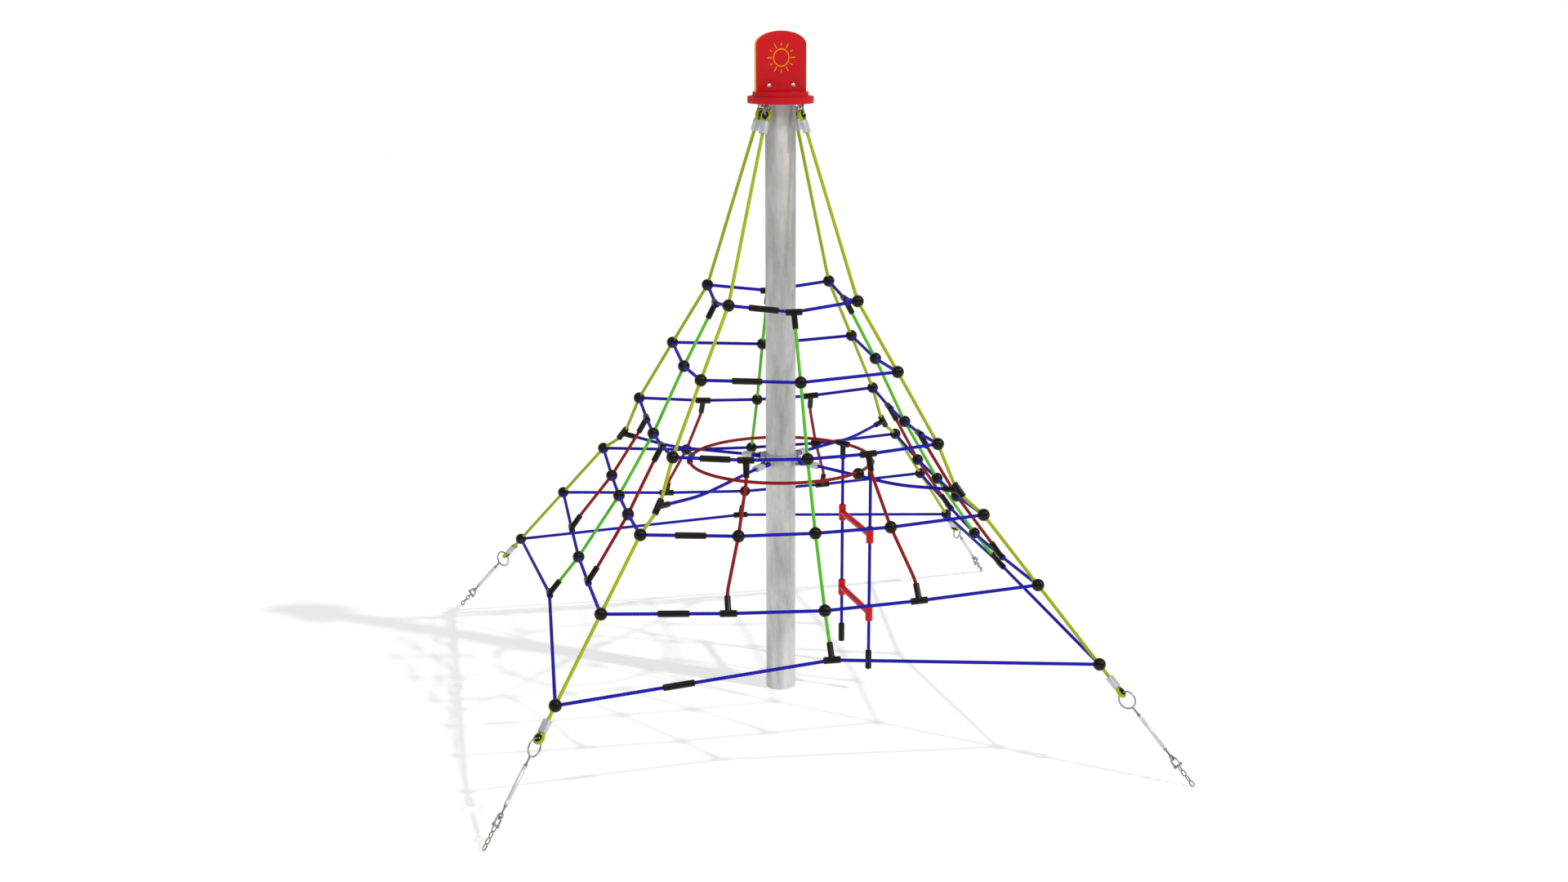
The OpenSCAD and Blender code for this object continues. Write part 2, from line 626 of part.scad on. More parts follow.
// Two half bands with flat lugs at the corners and bolted flanges at +X and -X
flange_w = 22;
flange_t = 6;
split = 3;
module collar_halves() {
    in_r = mast_d / 2 + 0.15;
    out_r = in_r + collar_t;
    color(steel) for (m = [0, 1]) rotate([0, 0, 180 * m]) difference() {
        union() {
            translate([0, 0, collar_z - collar_h / 2]) cylinder(r = out_r, h = collar_h, $fn = 96);
            for (k = [0, 1]) aim(collar_pin(k), collar_dir(k)) rotate([0, 90, 0]) {
                cylinder(r = lug_r, h = lug_t, center = true);
                translate([0, -lug_r, -lug_t / 2]) cube([collar_pin_r - in_r - 1, 2 * lug_r, lug_t]);
            }
            for (x = [-1, 1]) translate([x * (out_r + flange_w / 2 - 2), (flange_t + split) / 2, collar_z])
                cube([flange_w, flange_t, collar_h], center = true);
        }
        translate([0, 0, collar_z - collar_h]) cylinder(r = in_r, h = 2 * collar_h, $fn = 96);
        translate([0, split / 2 - 250, collar_z]) cube(500, center = true);
        for (k = [0, 1]) aim(collar_pin(k), collar_dir(k)) rotate([0, 90, 0])
            cylinder(d = pin_bore, h = 2 * lug_t, center = true);
        for (x = [-1, 1], z = [-1, 1]) translate([x * (out_r + flange_w / 2), 0, collar_z + z * collar_h / 4])
            rotate([90, 0, 0]) cylinder(d = screw_d + 0.4, h = 60, center = true);
    }
}
module collar_bolts() {
    x_bolt = mast_d / 2 + 0.15 + collar_t + flange_w / 2;
    grip = flange_t + split / 2 + seat;
    color(alloy) for (x = [-1, 1], z = [-1, 1])
        translate([x * x_bolt, 0, collar_z + z * collar_h / 4]) rotate([90, 0, 0]) {
            cylinder(d = screw_d, h = 2 * grip + 10, center = true);
            for (m = [0, 1]) mirror([0, 0, m]) translate([0, 0, grip]) cylinder(d = 15, h = 6, $fn = 6);
        }
}

module inner_ropes()
    color(blue) for (k = sides) {
        e = eyes[4 + k];
        rope([[e[0] + rope_in_ferrule * e[1], 0], [inner_low(k), -1], [inner_tee(k), slant_stop]]);
        aim(e[0], e[1]) eye_loop();
    }
module inner_tees()
    color(black) for (k = sides)
        tee(inner_tee(k), inner_tee(k) - inner_bar(k), inner_tee(k) + inner_bar(k),
            unit(inner_low(k) - inner_tee(k)), slant_stop);

module hoop_rope()
    color(dark_red) translate([0, 0, hoop_z])
        wire_arc(hoop_r, rope_d, hoop_sleeve_az + hoop_cut, hoop_sleeve_az + 360 - hoop_cut);
module hoop_bore() translate([0, 0, hoop_z]) torus(hoop_r, bore_d);
module hoop_ball()
    color(black) difference() {
        translate(polar(hoop_r, corner_az(3), hoop_z - hoop_step / 2)) sphere(d = ball_d);
        hoop_bore();
        aim(collar_pin(3), collar_dir(3)) cylinder(d = bore_d, h = 2 * hoop_r);
    }
module hoop_sleeve()
    color(black) difference() {
        translate([0, 0, hoop_z]) wire_arc(hoop_r, sleeve_d, hoop_sleeve_az - sleeve_l / 2 / hoop_r * 180 / PI,
            hoop_sleeve_az + sleeve_l / 2 / hoop_r * 180 / PI);
        hoop_bore();
    }

module ladder_tees()
    color(black) for (s = [-1, 1]) {
        p = ladder_side(s);
        az = ladder_az + s * ladder_half;
        difference() {
            translate([p.x, p.y, hoop_z]) {
                rotate([90, 0, az]) cylinder(d = tee_bar_d, h = tee_bar_l, center = true);
                translate([0, 0, -tee_stem_l]) cylinder(d = tee_stem_d, h = tee_stem_l);
            }
            hoop_bore();
        }
    }
module ladder_rope(s)
    color(blue) translate(ladder_side(s)) {
        translate([0, 0, swing_z]) sphere(d = rope_d);
        z = ladder_foot + 10;
        translate([0, 0, z]) cylinder(d = rope_d, h = swing_z - z);
    }
module ladder_rungs()
    color(cap_red) for (i = [0, 1]) {
        a = ladder_side(-1) + [0, 0, rung_z + i * rung_rise];
        b = ladder_side(1) + [0, 0, rung_z + i * rung_rise];
        difference() {
            union() {
                aim(a, unit(b - a)) cylinder(d = rung_d, h = norm(b - a));
                for (p = [a, b]) translate(p) cylinder(d = socket_d, h = socket_h, center = true);
            }
            for (p = [a, b]) translate(p) cylinder(d = bore_d, h = 2 * socket_h, center = true);
        }
    }
module ladder_end_sleeves()
    color(black) for (s = [-1, 1]) translate(ladder_side(s) + [0, 0, ladder_foot]) difference() {
        cylinder(d = end_sleeve_d, h = end_sleeve_l);
        translate([0, 0, 10 - rope_gap]) cylinder(d = bore_d, h = end_sleeve_l);
    }

// Steel ring with the upper threaded rod welded to it
module ring_rods()
    color(alloy) for (k = sides) {
        aim(foot(k, foot_ring), foot_vec(k)) rotate([90, 0, 0]) torus(ring_r_mid, ring_wire);
        aim(foot(k, rod_from), foot_vec(k)) cylinder(d = rod_d, h = body_from + thread_in - rod_from);
    }
module turnbuckle(k)
    color(alloy) aim(foot(k, body_from), foot_vec(k)) difference() {
        cylinder(d = turnbuckle_d, h = turnbuckle_l);
        for (z = [-1, turnbuckle_l - thread_in - 1]) translate([0, 0, z])
            cylinder(d = rod_d + 2 * thread_gap, h = thread_in + 2);
    }
module lock_nuts()
    color(alloy) for (k = sides, s = [body_from - nut_t - 2 * seat, body_from + turnbuckle_l + 2 * seat])
        aim(foot(k, s), foot_vec(k)) difference() {
            cylinder(d = nut_af / cos(30), h = nut_t, $fn = 6);
            translate([0, 0, -1]) cylinder(d = rod_d + 0.2, h = nut_t + 2);
        }
module eye_rods()
    color(alloy) for (k = sides) {
        aim(foot(k, rod_eye), foot_vec(k)) rotate([0, 90, 0]) torus(rod_eye_r, rod_eye_wire);
        from = body_from + turnbuckle_l - thread_in;
        aim(foot(k, from), foot_vec(k)) cylinder(d = rod_d, h = rod_eye - rod_eye_r - from);
    }

module chain_link() {
    for (m = [0, 1]) mirror([0, 0, m]) translate([0, 0, link_half]) rotate([-90, 0, 0]) wire_arc(link_r, link_wire, -180, 0);
    for (x = [-1, 1] * link_r) translate([x, 0, -link_half]) cylinder(d = link_wire, h = 2 * link_half);
}
module anchor_chains()
    color(steel) for (k = sides, i = [0:links - 1])
        aim(foot(k, first_link + i * link_pitch), foot_vec(k)) rotate([0, 0, 90 * ((links - 1 - i) % 2)]) chain_link();

mast();
head_plate();
cap_disc();
cap_ring();
sign_panel();
panel_brackets();
panel_bolts();
cap_screws();
shackle_bows();
shackle_pins();
thimbles();
ferrules();
main_rope(0);  // main_rope_1
main_rope(1);  // main_rope_2
main_rope(2);  // main_rope_3
main_rope(3);  // main_rope_4
ring_rope(0);  // ring_rope_1
ring_rope(1);  // ring_rope_2
ring_rope(2);  // ring_rope_3
ring_rope(3);  // ring_rope_4
ring_rope(4);  // ring_rope_5
ring_rope(5);  // ring_rope_6
side_rope(0);  // side_rope_1
side_rope(1);  // side_rope_2
side_rope(2);  // side_rope_3
side_rope(3);  // side_rope_4
brace_ropes(0);  // brace_ropes_1
brace_ropes(1);  // brace_ropes_2
brace_ropes(2);  // brace_ropes_3
brace_ropes(3);  // brace_ropes_4
corner_balls();
side_balls();
brace_balls();
low_side_tees();
top_side_tees();
brace_tees(1);  // low_brace_tees
brace_tees(3);  // top_brace_tees
ring_sleeves();
collar_halves();
collar_bolts();
inner_ropes();
inner_tees();
hoop_rope();
hoop_ball();
hoop_sleeve();
ladder_tees();
ladder_rope(-1);  // ladder_rope_front
ladder_rope(1);  // ladder_rope_back
ladder_rungs();
ladder_end_sleeves();
ring_rods();
turnbuckle(0);  // turnbuckle_1
turnbuckle(1);  // turnbuckle_2
turnbuckle(2);  // turnbuckle_3
turnbuckle(3);  // turnbuckle_4
lock_nuts();
eye_rods();
anchor_chains();
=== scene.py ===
import math

import bpy
from mathutils import Matrix, Vector


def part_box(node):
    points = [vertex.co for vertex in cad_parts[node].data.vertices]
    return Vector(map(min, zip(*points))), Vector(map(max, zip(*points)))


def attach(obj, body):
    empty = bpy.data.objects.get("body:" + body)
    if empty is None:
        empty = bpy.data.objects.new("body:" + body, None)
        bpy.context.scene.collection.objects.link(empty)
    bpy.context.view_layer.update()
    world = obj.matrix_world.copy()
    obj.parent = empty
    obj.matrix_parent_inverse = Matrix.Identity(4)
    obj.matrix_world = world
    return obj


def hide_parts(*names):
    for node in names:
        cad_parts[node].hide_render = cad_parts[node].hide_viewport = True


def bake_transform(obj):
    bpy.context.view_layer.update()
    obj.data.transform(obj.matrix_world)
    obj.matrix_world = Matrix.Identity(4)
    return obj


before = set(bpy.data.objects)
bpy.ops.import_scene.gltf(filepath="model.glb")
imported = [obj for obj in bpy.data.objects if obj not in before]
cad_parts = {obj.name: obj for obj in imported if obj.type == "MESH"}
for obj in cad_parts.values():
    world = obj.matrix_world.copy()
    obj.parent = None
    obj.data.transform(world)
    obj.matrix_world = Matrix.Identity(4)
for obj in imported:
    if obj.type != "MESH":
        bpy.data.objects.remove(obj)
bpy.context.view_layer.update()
print("frame loaded")

# Sizes are in metres and angles in degrees. The sides of the net face +X, +Y, -X and -Y.
net = {
    "ropeRadius": 0.008,
    "anchorSide": 2.99,                                      # square on which the anchors stand
    "rise": [0.458, 0.304, 0.275, 0.29, 0.302, 0.3],         # from ring to ring, the lowest first
    "upperLean": [0.815, 0.7, 0.71],                         # run over rise above the third ring
    "sag": [-0.084, 0.049, 0.037, 0.037, 0.027, 0.038],      # middle of a side below its corners
    "bow": [-0.066, 0.008, 0.007, 0.008, 0.01, 0.01],        # middle of a side outside its chord
    "braceAt": [0.437, 0.444, 0.462],                        # from the middle to the corner, rings 2 to 4
    "braceDip": [0.006, 0.01, 0.009],
    "sleeveAt": [0.438, 0.567, 0.51, 0.578, 0.46, 0.537],
    "ballRadius": 0.028,
    "partingDepth": 0.0006,
}
tee = {
    "barRadius": 0.015,
    "barLength": 0.073,
    "stemRadius": 0.0135,
    "stemLength": 0.078,                                     # from the axis of the bar
    "mouthRadius": 0.0093,
    "mouthDepth": 0.005,
    "rounding": 0.0018,
}
eye = {
    "radius": 0.02,                                          # middle of the rope round its thimble
    "ferruleAt": 0.02584,
    "ferruleLength": 0.057,
    "ferruleWidth": 0.038,
    "ferruleThickness": 0.024,
    "pinToEye": 0.0378,                                      # from the shackle's pin
}
head = {"pinRadius": 0.102, "pinDrop": 0.0145}               # the pins lie below the top of the mast
collar = {"height": 1.139, "pinRadius": 0.09115}
inner = {
    "teeRise": 0.094,
    "pull": 0.05,
    "lowRadius": 0.64,
    "sag": 0.028,
    "intoTee": 0.03,
    "bend": 0.09,                                            # reach of the bend at the rope's lowest point
    "stemRounding": 0.004,
}
hoop = {"radius": 0.429, "step": 0.0169, "sleeveAzimuth": 167, "ballAzimuth": 315}
ladder = {
    "width": 0.4,
    "azimuth": 5.7,
    "foot": 0.115,                                           # bottom of the end sleeves
    "ropeEnd": 0.125,                                        # bottom of the rope, in the end sleeves
    "lowRung": 0.398,
    "rungRise": 0.388,
    "intoTee": 0.012,
    "bendAbove": 0.004,                                      # bend points are computed from here, but no bend is made
    "bendBelow": 0.05,                                       # to here, about the mouths of their tees
}
panelTurn = 15


def polar(radius, azimuth, height):
    a = math.radians(azimuth)
    return Vector((radius * math.cos(a), radius * math.sin(a), height))


def cornerAzimuth(k):
    return 45 + 90 * k


def ringHeight(i):
    return sum(net["rise"][: i + 1])


def ringRadius(i):
    if i < 3:
        return net["anchorSide"] / math.sqrt(2) - ringHeight(i)  # the feet of the net slope at 45 degrees
    return ringRadius(i - 1) - net["upperLean"][i - 3] * net["rise"][i]


def corner(i, k):
    return polar(ringRadius(i), cornerAzimuth(k), ringHeight(i))


def middle(i, k):
    return polar(ringRadius(i) * math.cos(math.pi / 4) + net["bow"][i], 90 * k, ringHeight(i) - net["sag"][i])


def brace(i, k, side):                                       # side -1 is before the middle, 1 after it
    start, end = middle(i, k), corner(i, k - 1 if side < 0 else k)
    return start + net["braceAt"][i - 1] * (end - start) - Vector((0, 0, net["braceDip"][i - 1]))


def sleeveEnd(i):
    return brace(i, 3, -1) if 0 < i < 4 else middle(i, 3)


def sleeveMiddle(i):
    return corner(i, 2) + net["sleeveAt"][i] * (sleeveEnd(i) - corner(i, 2))


def headPin(k):
    return polar(head["pinRadius"], cornerAzimuth(k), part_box("mast")[1][2] - head["pinDrop"])


def headWay(k):
    return (corner(5, k) - headPin(k)).normalized()


def collarPin(k):
    return polar(collar["pinRadius"], cornerAzimuth(k), collar["height"])


def innerTee(k):
    part = inner["teeRise"] / net["rise"][3]
    radius = ringRadius(2) + (ringRadius(3) - ringRadius(2)) * part - inner["pull"]
    return polar(radius, cornerAzimuth(k), ringHeight(2) + inner["teeRise"])


def innerLow(k):
    a, b = collarPin(k), innerTee(k)
    part = (inner["lowRadius"] - a.xy.length) / (b.xy.length - a.xy.length)
    return a + part * (b - a) - Vector((0, 0, inner["sag"]))


def collarWay(k):
    return (innerLow(k) - collarPin(k)).normalized()


def innerBar(k):                                             # the main rope through an inner tee, upwards
    up = (corner(3, k) - innerTee(k)).normalized()
    return (up + (innerTee(k) - corner(2, k)).normalized()).normalized()


def hoopHeight():
    a, b = collarPin(0), innerLow(0)
    part = (hoop["radius"] - a.xy.length) / (b.xy.length - a.xy.length)
    return a.z + part * (b.z - a.z) + hoop["step"]


def ladderSide(side, height):
    half = math.degrees(math.asin(ladder["width"] / 2 / hoop["radius"]))
    return polar(hoop["radius"], ladder["azimuth"] + side * half, height)


footGear = {
    "rope": 0.066,                                           # from the lowest ball to the ferrule
    "ringWire": 0.008,
    "ringDiameter": 0.084,
    "ringSeat": 0.0031,                                      # from the middle of the eye to the ring's wire
    "rod": 0.01,
    "rodShows": 0.034,
    "nut": 0.008,
    "nutHalf": 0.0075,                                       # from the axis to a flat
    "body": 0.17,
    "bodyDiameter": 0.018,
    "link": 0.027,
    "linkWidth": 0.011,
    "linkWire": 0.006,
    "links": 4,
    "eyeRadius": 0.011,
    "eyeWire": 0.009,
    "threadIn": 0.05,
    "gap": 0.0003,
}


def footWay(k):
    return polar(math.sqrt(0.5), cornerAzimuth(k), -math.sqrt(0.5))


def foot(k, distance):                                       # down the line of a main rope
    return corner(0, k) + distance * footWay(k)


def footPlaces():                                            # distances from the lowest ball
    g = footGear
    at = {"eye": g["rope"] + eye["ferruleLength"] + eye["ferruleAt"]}
    at["ringRadius"] = (g["ringDiameter"] - g["ringWire"]) / 2
    at["ring"] = at["eye"] + g["ringSeat"] + at["ringRadius"]
    at["rod"] = at["ring"] + at["ringRadius"]
    at["body"] = at["rod"] + g["ringWire"] / 2 + g["rodShows"] + g["nut"] + 2 * g["gap"]
    at["linkRadius"] = (g["linkWidth"] + g["linkWire"]) / 2
    at["linkHalf"] = (g["link"] + g["linkWire"]) / 2 - at["linkRadius"]
    at["pitch"] = g["link"] - g["gap"]
    lastLink = (ringHeight(0) - at["linkRadius"] - g["linkWire"] / 2) * math.sqrt(2) - at["linkHalf"]
    at["link"] = lastLink - (g["links"] - 1) * at["pitch"]
    at["pin"] = at["link"] - g["link"] / 2 + shackle["pinRadius"] + g["gap"]
    bowInside = at["pin"] - shackle["length"] + shackle["wire"] / 2
    at["rodEye"] = bowInside + g["gap"] - g["eyeRadius"] + g["eyeWire"] / 2
    return at


shackle = {
    "length": 0.0383,
    "wire": 0.008,
    "bowRadius": 0.015,
    "pinRadius": 0.004,
    "earRadius": 0.00725,
    "headRadius": 0.0055,
    "headLength": 0.0035,
}
footAt = footPlaces()
eyes = [(headPin(k) + eye["pinToEye"] * headWay(k), headWay(k)) for k in range(4)]
eyes += [(collarPin(k) + eye["pinToEye"] * collarWay(k), collarWay(k)) for k in range(4)]
eyes += [(foot(k, footAt["eye"]), -footWay(k)) for k in range(4)]
shackles = [(headPin(k), headWay(k)) for k in range(4)]
shackles += [(collarPin(k), collarWay(k)) for k in range(4)]
shackles += [(foot(k, footAt["pin"]), -footWay(k)) for k in range(4)]


def aim(point, way):                                         # turns +Z to the way, and keeps +Y level
    spin = Matrix.Rotation(math.atan2(way.y, way.x), 4, "Z")
    return Matrix.Translation(point) @ spin @ Matrix.Rotation(math.acos(way.z), 4, "Y")


def pose(point, along, up):                                  # X lies along, and Z is as near up as can be
    x = along.normalized()
    z = (up - up.dot(x) * x).normalized()
    return Matrix.Translation(point) @ Matrix((x, z.cross(x), z)).transposed().to_4x4()


# ---- camera
camera = {"place": (-1.6194, -8.1058, 3.3004), "heading": 11.407, "dip": 14.103, "lens": 41.53}


def placeCamera():
    data = bpy.data.cameras.new("camera")
    data.lens = camera["lens"]
    data.sensor_width = 36
    thing = bpy.data.objects.new("camera", data)
    bpy.context.scene.collection.objects.link(thing)
    h, d = math.radians(camera["heading"]), math.radians(camera["dip"])
    look = Vector((math.sin(h) * math.cos(d), math.cos(h) * math.cos(d), -math.sin(d)))
    thing.rotation_mode = "QUATERNION"
    thing.location = camera["place"]
    thing.rotation_quaternion = look.to_track_quat("-Z", "Y")
    bpy.context.scene.camera = thing


placeCamera()


# ---- modelling helpers
def quiet():
    if bpy.context.object and bpy.context.object.mode != "OBJECT":
        bpy.ops.object.mode_set(mode="OBJECT")
    bpy.ops.object.select_all(action="DESELECT")


def takeUp(thing):
    quiet()
    thing.select_set(True)
    bpy.context.view_layer.objects.active = thing


def pick(thing, kind, test):                                 # edit mode, with what passes the test selected
    takeUp(thing)
    mesh = thing.data
    where = [v.co.copy() for v in mesh.vertices]
    parts = {"VERT": mesh.vertices, "EDGE": mesh.edges, "FACE": mesh.polygons}
    for group in parts.values():
        group.foreach_set("select", [False] * len(group))
    for part in parts[kind]:
        corners = [where[part.index]] if kind == "VERT" else [where[v] for v in part.vertices]
        part.select = bool(test(corners))
    bpy.context.tool_settings.mesh_select_mode = (kind == "VERT", kind == "EDGE", kind == "FACE")
    bpy.ops.object.mode_set(mode="EDIT")


def push(way):
    bpy.ops.transform.translate(value=way)


def addRod(radius, bottom, top, vertices=32):                # a cylinder on +Z
    quiet()
    bpy.ops.mesh.primitive_cylinder_add(
        vertices=vertices, radius=radius, depth=top - bottom, location=(0, 0, (top + bottom) / 2))
    bpy.ops.object.transform_apply(location=True, rotation=True, scale=True)
    return bpy.context.object


def addRing(radius, wire, around=40, across=12):             # a torus about +Z
    quiet()
    bpy.ops.mesh.primitive_torus_add(
        major_radius=radius, minor_radius=wire / 2, major_segments=around, minor_segments=across)
    return bpy.context.object


def drawLine(points):                                        # a vertex, extruded from point to point
    quiet()
    bpy.ops.mesh.primitive_plane_add(size=0.001)
    thing = bpy.context.object
    bpy.context.tool_settings.mesh_select_mode = (True, False, False)
    bpy.ops.object.mode_set(mode="EDIT")
    bpy.ops.mesh.select_all(action="SELECT")
    bpy.ops.mesh.merge(type="CENTER")
    push(points[0])
    for a, b in zip(points, points[1:]):
        step = [b[j] - a[j] for j in range(3)]
        bpy.ops.mesh.extrude_vertices_move(TRANSFORM_OT_translate={"value": step})
    return thing


def turnOutline(outline, steps=32):                          # outline of (radius, height), spun about Z
    thing = drawLine([(r, 0, z) for r, z in outline])
    bpy.ops.mesh.select_all(action="SELECT")
    bpy.ops.mesh.spin(steps=steps, angle=2 * math.pi, center=(0, 0, 0), axis=(0, 0, 1))
    bpy.ops.mesh.select_all(action="SELECT")
    bpy.ops.mesh.remove_doubles(threshold=0.00001)
    bpy.ops.mesh.normals_make_consistent(inside=False)
    quiet()
    return thing


def roundEnd(radius, end, rounding, mouth=0.0, depth=0.0):   # outline over an end and into its bore
    points = []
    for a in (0, 22.5, 45, 67.5, 90):
        t = math.radians(a)
        points.append((radius - rounding + rounding * math.cos(t), end - rounding + rounding * math.sin(t)))
    if mouth:
        points += [(mouth + 0.0006, end), (mouth, end - 0.0008), (mouth, end - depth), (0, end - depth)]
    else:
        points.append((0, end))
    return points


def bothEnds(radius, half, rounding, mouth=0.0, depth=0.0, between=()):
    top = roundEnd(radius, half, rounding, mouth, depth)
    return [(r, -z) for r, z in top[::-1]] + [(radius, z) for z in between] + top


def apply(thing, kind, **settings):
    takeUp(thing)
    modifier = thing.modifiers.new(kind.lower(), kind)
    for name, value in settings.items():
        setattr(modifier, name, value)
    bpy.ops.object.modifier_apply(modifier=modifier.name)


def soften(thing, width, segments=2, angle=35):
    limit = math.radians(angle)
    apply(thing, "BEVEL", width=width, segments=segments, limit_method="ANGLE", angle_limit=limit)


def lay(thing, matrix):
    quiet()
    thing.data.transform(matrix)
    return thing


def joined(name, things):
    quiet()
    for thing in things:
        thing.select_set(True)
    bpy.context.view_layer.objects.active = things[0]
    if len(things) > 1:
        bpy.ops.object.join()
    things[0].name = things[0].data.name = name
    return things[0]


def copies(name, master, places):                            # one mesh of copies, and the master goes
    made = []
    for place in places:
        one = master.copy()
        one.data = master.data.copy()
        one.data.transform(place)
        bpy.context.scene.collection.objects.link(one)
        made.append(one)
    bpy.data.objects.remove(master)
    return joined(name, made)


def finish(thing, body, slotName, *nodes, smooth=40, look=None, bend=None):
    takeUp(thing)
    bpy.ops.object.shade_smooth_by_angle(angle=math.radians(smooth))
    thing.data.materials.clear()
    thing.data.materials.append(finishes[look or slotName])
    if bend:                                                 # the bend points are read but not used; the mesh is baked in place
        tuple(bend[0])
        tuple(bend[1])
        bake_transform(thing)
    else:
        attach(thing, body)
    if nodes:
        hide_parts(*nodes)
    return thing


# ---- materials
class Amount:                                                # a shader value that takes part in sums
    def __init__(self, paint, socket):
        self.paint = paint
        self.socket = socket

    def sum(self, kind, first, second):
        made = self.paint.node("ShaderNodeMath", {"operation": kind}, {0: first, 1: second})
        return Amount(self.paint, made.outputs[0])

    def __add__(self, other):
        return self.sum("ADD", self, other)

    def __radd__(self, other):
        return self.sum("ADD", other, self)

    def __sub__(self, other):
        return self.sum("SUBTRACT", self, other)

    def __rsub__(self, other):
        return self.sum("SUBTRACT", other, self)

    def __mul__(self, other):
        return self.sum("MULTIPLY", self, other)

    def __rmul__(self, other):
        return self.sum("MULTIPLY", other, self)

    def __gt__(self, other):
        return self.sum("GREATER_THAN", self, other)

    def __pow__(self, other):
        return self.sum("POWER", self, other)

    def __abs__(self):
        return self.sum("ABSOLUTE", self, 0)

    def __mod__(self, other):
        return self.sum("MODULO", self, other)

    def sine(self):
        return self.sum("SINE", self, 0)

    def most(self, other):
        return self.sum("MAXIMUM", self, other)

    def fitted(self, low, high, toLow=0.0, toHigh=1.0):
        sockets = {"Value": self, "From Min": low, "From Max": high, "To Min": toLow, "To Max": toHigh}
        made = self.paint.node("ShaderNodeMapRange", {"interpolation_type": "SMOOTHSTEP"}, sockets)
        return Amount(self.paint, made.outputs[0])


class Paint:                                                 # the nodes of one material
    def __init__(self, name, **surface):
        self.material = bpy.data.materials.new(name)
        self.material.use_nodes = True
        self.nodes = self.material.node_tree.nodes
        self.links = self.material.node_tree.links
        self.surface = self.nodes["Principled BSDF"]
        for socket, value in surface.items():
            self.surface.inputs[socket.replace("_", " ")].default_value = value
        self.place = self.node("ShaderNodeTexCoord").outputs["Object"]

    def node(self, kind, settings=None, sockets=None):
        made = self.nodes.new(kind)
        for name, value in (settings or {}).items():
            if name == "stops":
                for spot, tint in value[1:-1]:
                    made.color_ramp.elements.new(spot)
                for element, (spot, tint) in zip(made.color_ramp.elements, value):
                    element.position, element.color = spot, (*tint, 1)
            else:
                setattr(made, name, value)
        for name, value in (sockets or {}).items():
            self.feed(made.inputs[name], value)
        return made

    def feed(self, socket, value):
        if isinstance(value, Amount):
            value = value.socket
        if isinstance(value, bpy.types.NodeSocket):
            self.links.new(value, socket)
        elif isinstance(value, tuple) and len(value) == 3 and socket.type == "RGBA":
            socket.default_value = (*value, 1)
        else:
            socket.default_value = value

    def noise(self, scale, detail=3.0, roughness=0.55, place=None):
        sockets = {"Vector": place or self.place, "Scale": scale, "Detail": detail, "Roughness": roughness}
        return Amount(self, self.node("ShaderNodeTexNoise", None, sockets).outputs[0])

    def stretched(self, size):
        made = self.node("ShaderNodeMapping", None, {"Vector": self.place, "Scale": size})
        return made.outputs[0]

    def mix(self, part, first, second, blend="MIX"):
        made = self.node("ShaderNodeMix", {"data_type": "RGBA", "blend_type": blend})
        for index, value in ((0, part), (6, first), (7, second)):
            self.feed(made.inputs[index], value)
        return made.outputs[2]

    def bump(self, height, distance, strength=1.0):
        sockets = {"Height": height, "Distance": distance, "Strength": strength}
        self.use("Normal", self.node("ShaderNodeBump", None, sockets).outputs[0])

    def use(self, name, value):
        self.feed(self.surface.inputs[name], value)


yarn = {"around": 18.85, "along": 1400, "tracer": 75}        # how closely the yarns and the tracers lie


def ropeFinish(name, colour, dark, tracerAndShade, valleyShadeStrength):         # six strands, each under a braid of fine yarns
    paint = Paint(name, Specular_IOR_Level=0.16)
    sheet = paint.node("ShaderNodeUVMap", {"uv_map": "lay"})
    parts = paint.node("ShaderNodeSeparateXYZ", None, {0: sheet.outputs[0]})
    around, along = Amount(paint, parts.outputs[0]), Amount(paint, parts.outputs[1])
    off = abs(around % 1.0 - 0.5) * 2                        # 0 on the crown of a strand, 1 in the valley
    left = (around * yarn["around"] + along * yarn["along"]).sine()
    right = (around * yarn["around"] - along * yarn["along"]).sine()
    braid = left.most(right).fitted(-0.2, 1.0)
    worn = paint.noise(9.0, 4.0)
    tracer = ((around * 2 - along * yarn["tracer"]) % 1.0 > 0.7) * (1 - off.fitted(0.3, 0.8))
    tint = paint.mix(braid * 0.4 + worn * 0.5 + 0.25, dark, colour)
    tint = paint.mix(tracer * 0.7, tint, tracerAndShade)
    # painted shade: the valleys between the strands are darkened toward the tracer-and-shade colour, standing
    # in for the shade that falls in them
    tint = paint.mix(off.fitted(0.35, 0.9) * valleyShadeStrength, tint, tracerAndShade)
    paint.use("Base Color", tint)
    paint.use("Roughness", 0.32 + 0.2 * worn)
    paint.bump(braid * 0.35 + (1 - off ** 2.0) * 0.65, 0.0006, 0.6)
    return paint.material


def zincFinish(name, light, shade, metal, rough, grain):
    paint = Paint(name, Metallic=metal)
    patches = paint.noise(grain, 5.0, 0.62)
    fine = paint.noise(grain * 14, 2.0)
    paint.use("Base Color", paint.mix((patches * 1.2 + fine * 0.25 - 0.25).fitted(0.2, 0.8), shade, light))
    paint.use("Roughness", rough + 0.16 * patches)
    paint.bump(fine, 0.0002, 0.35)
    return paint.material


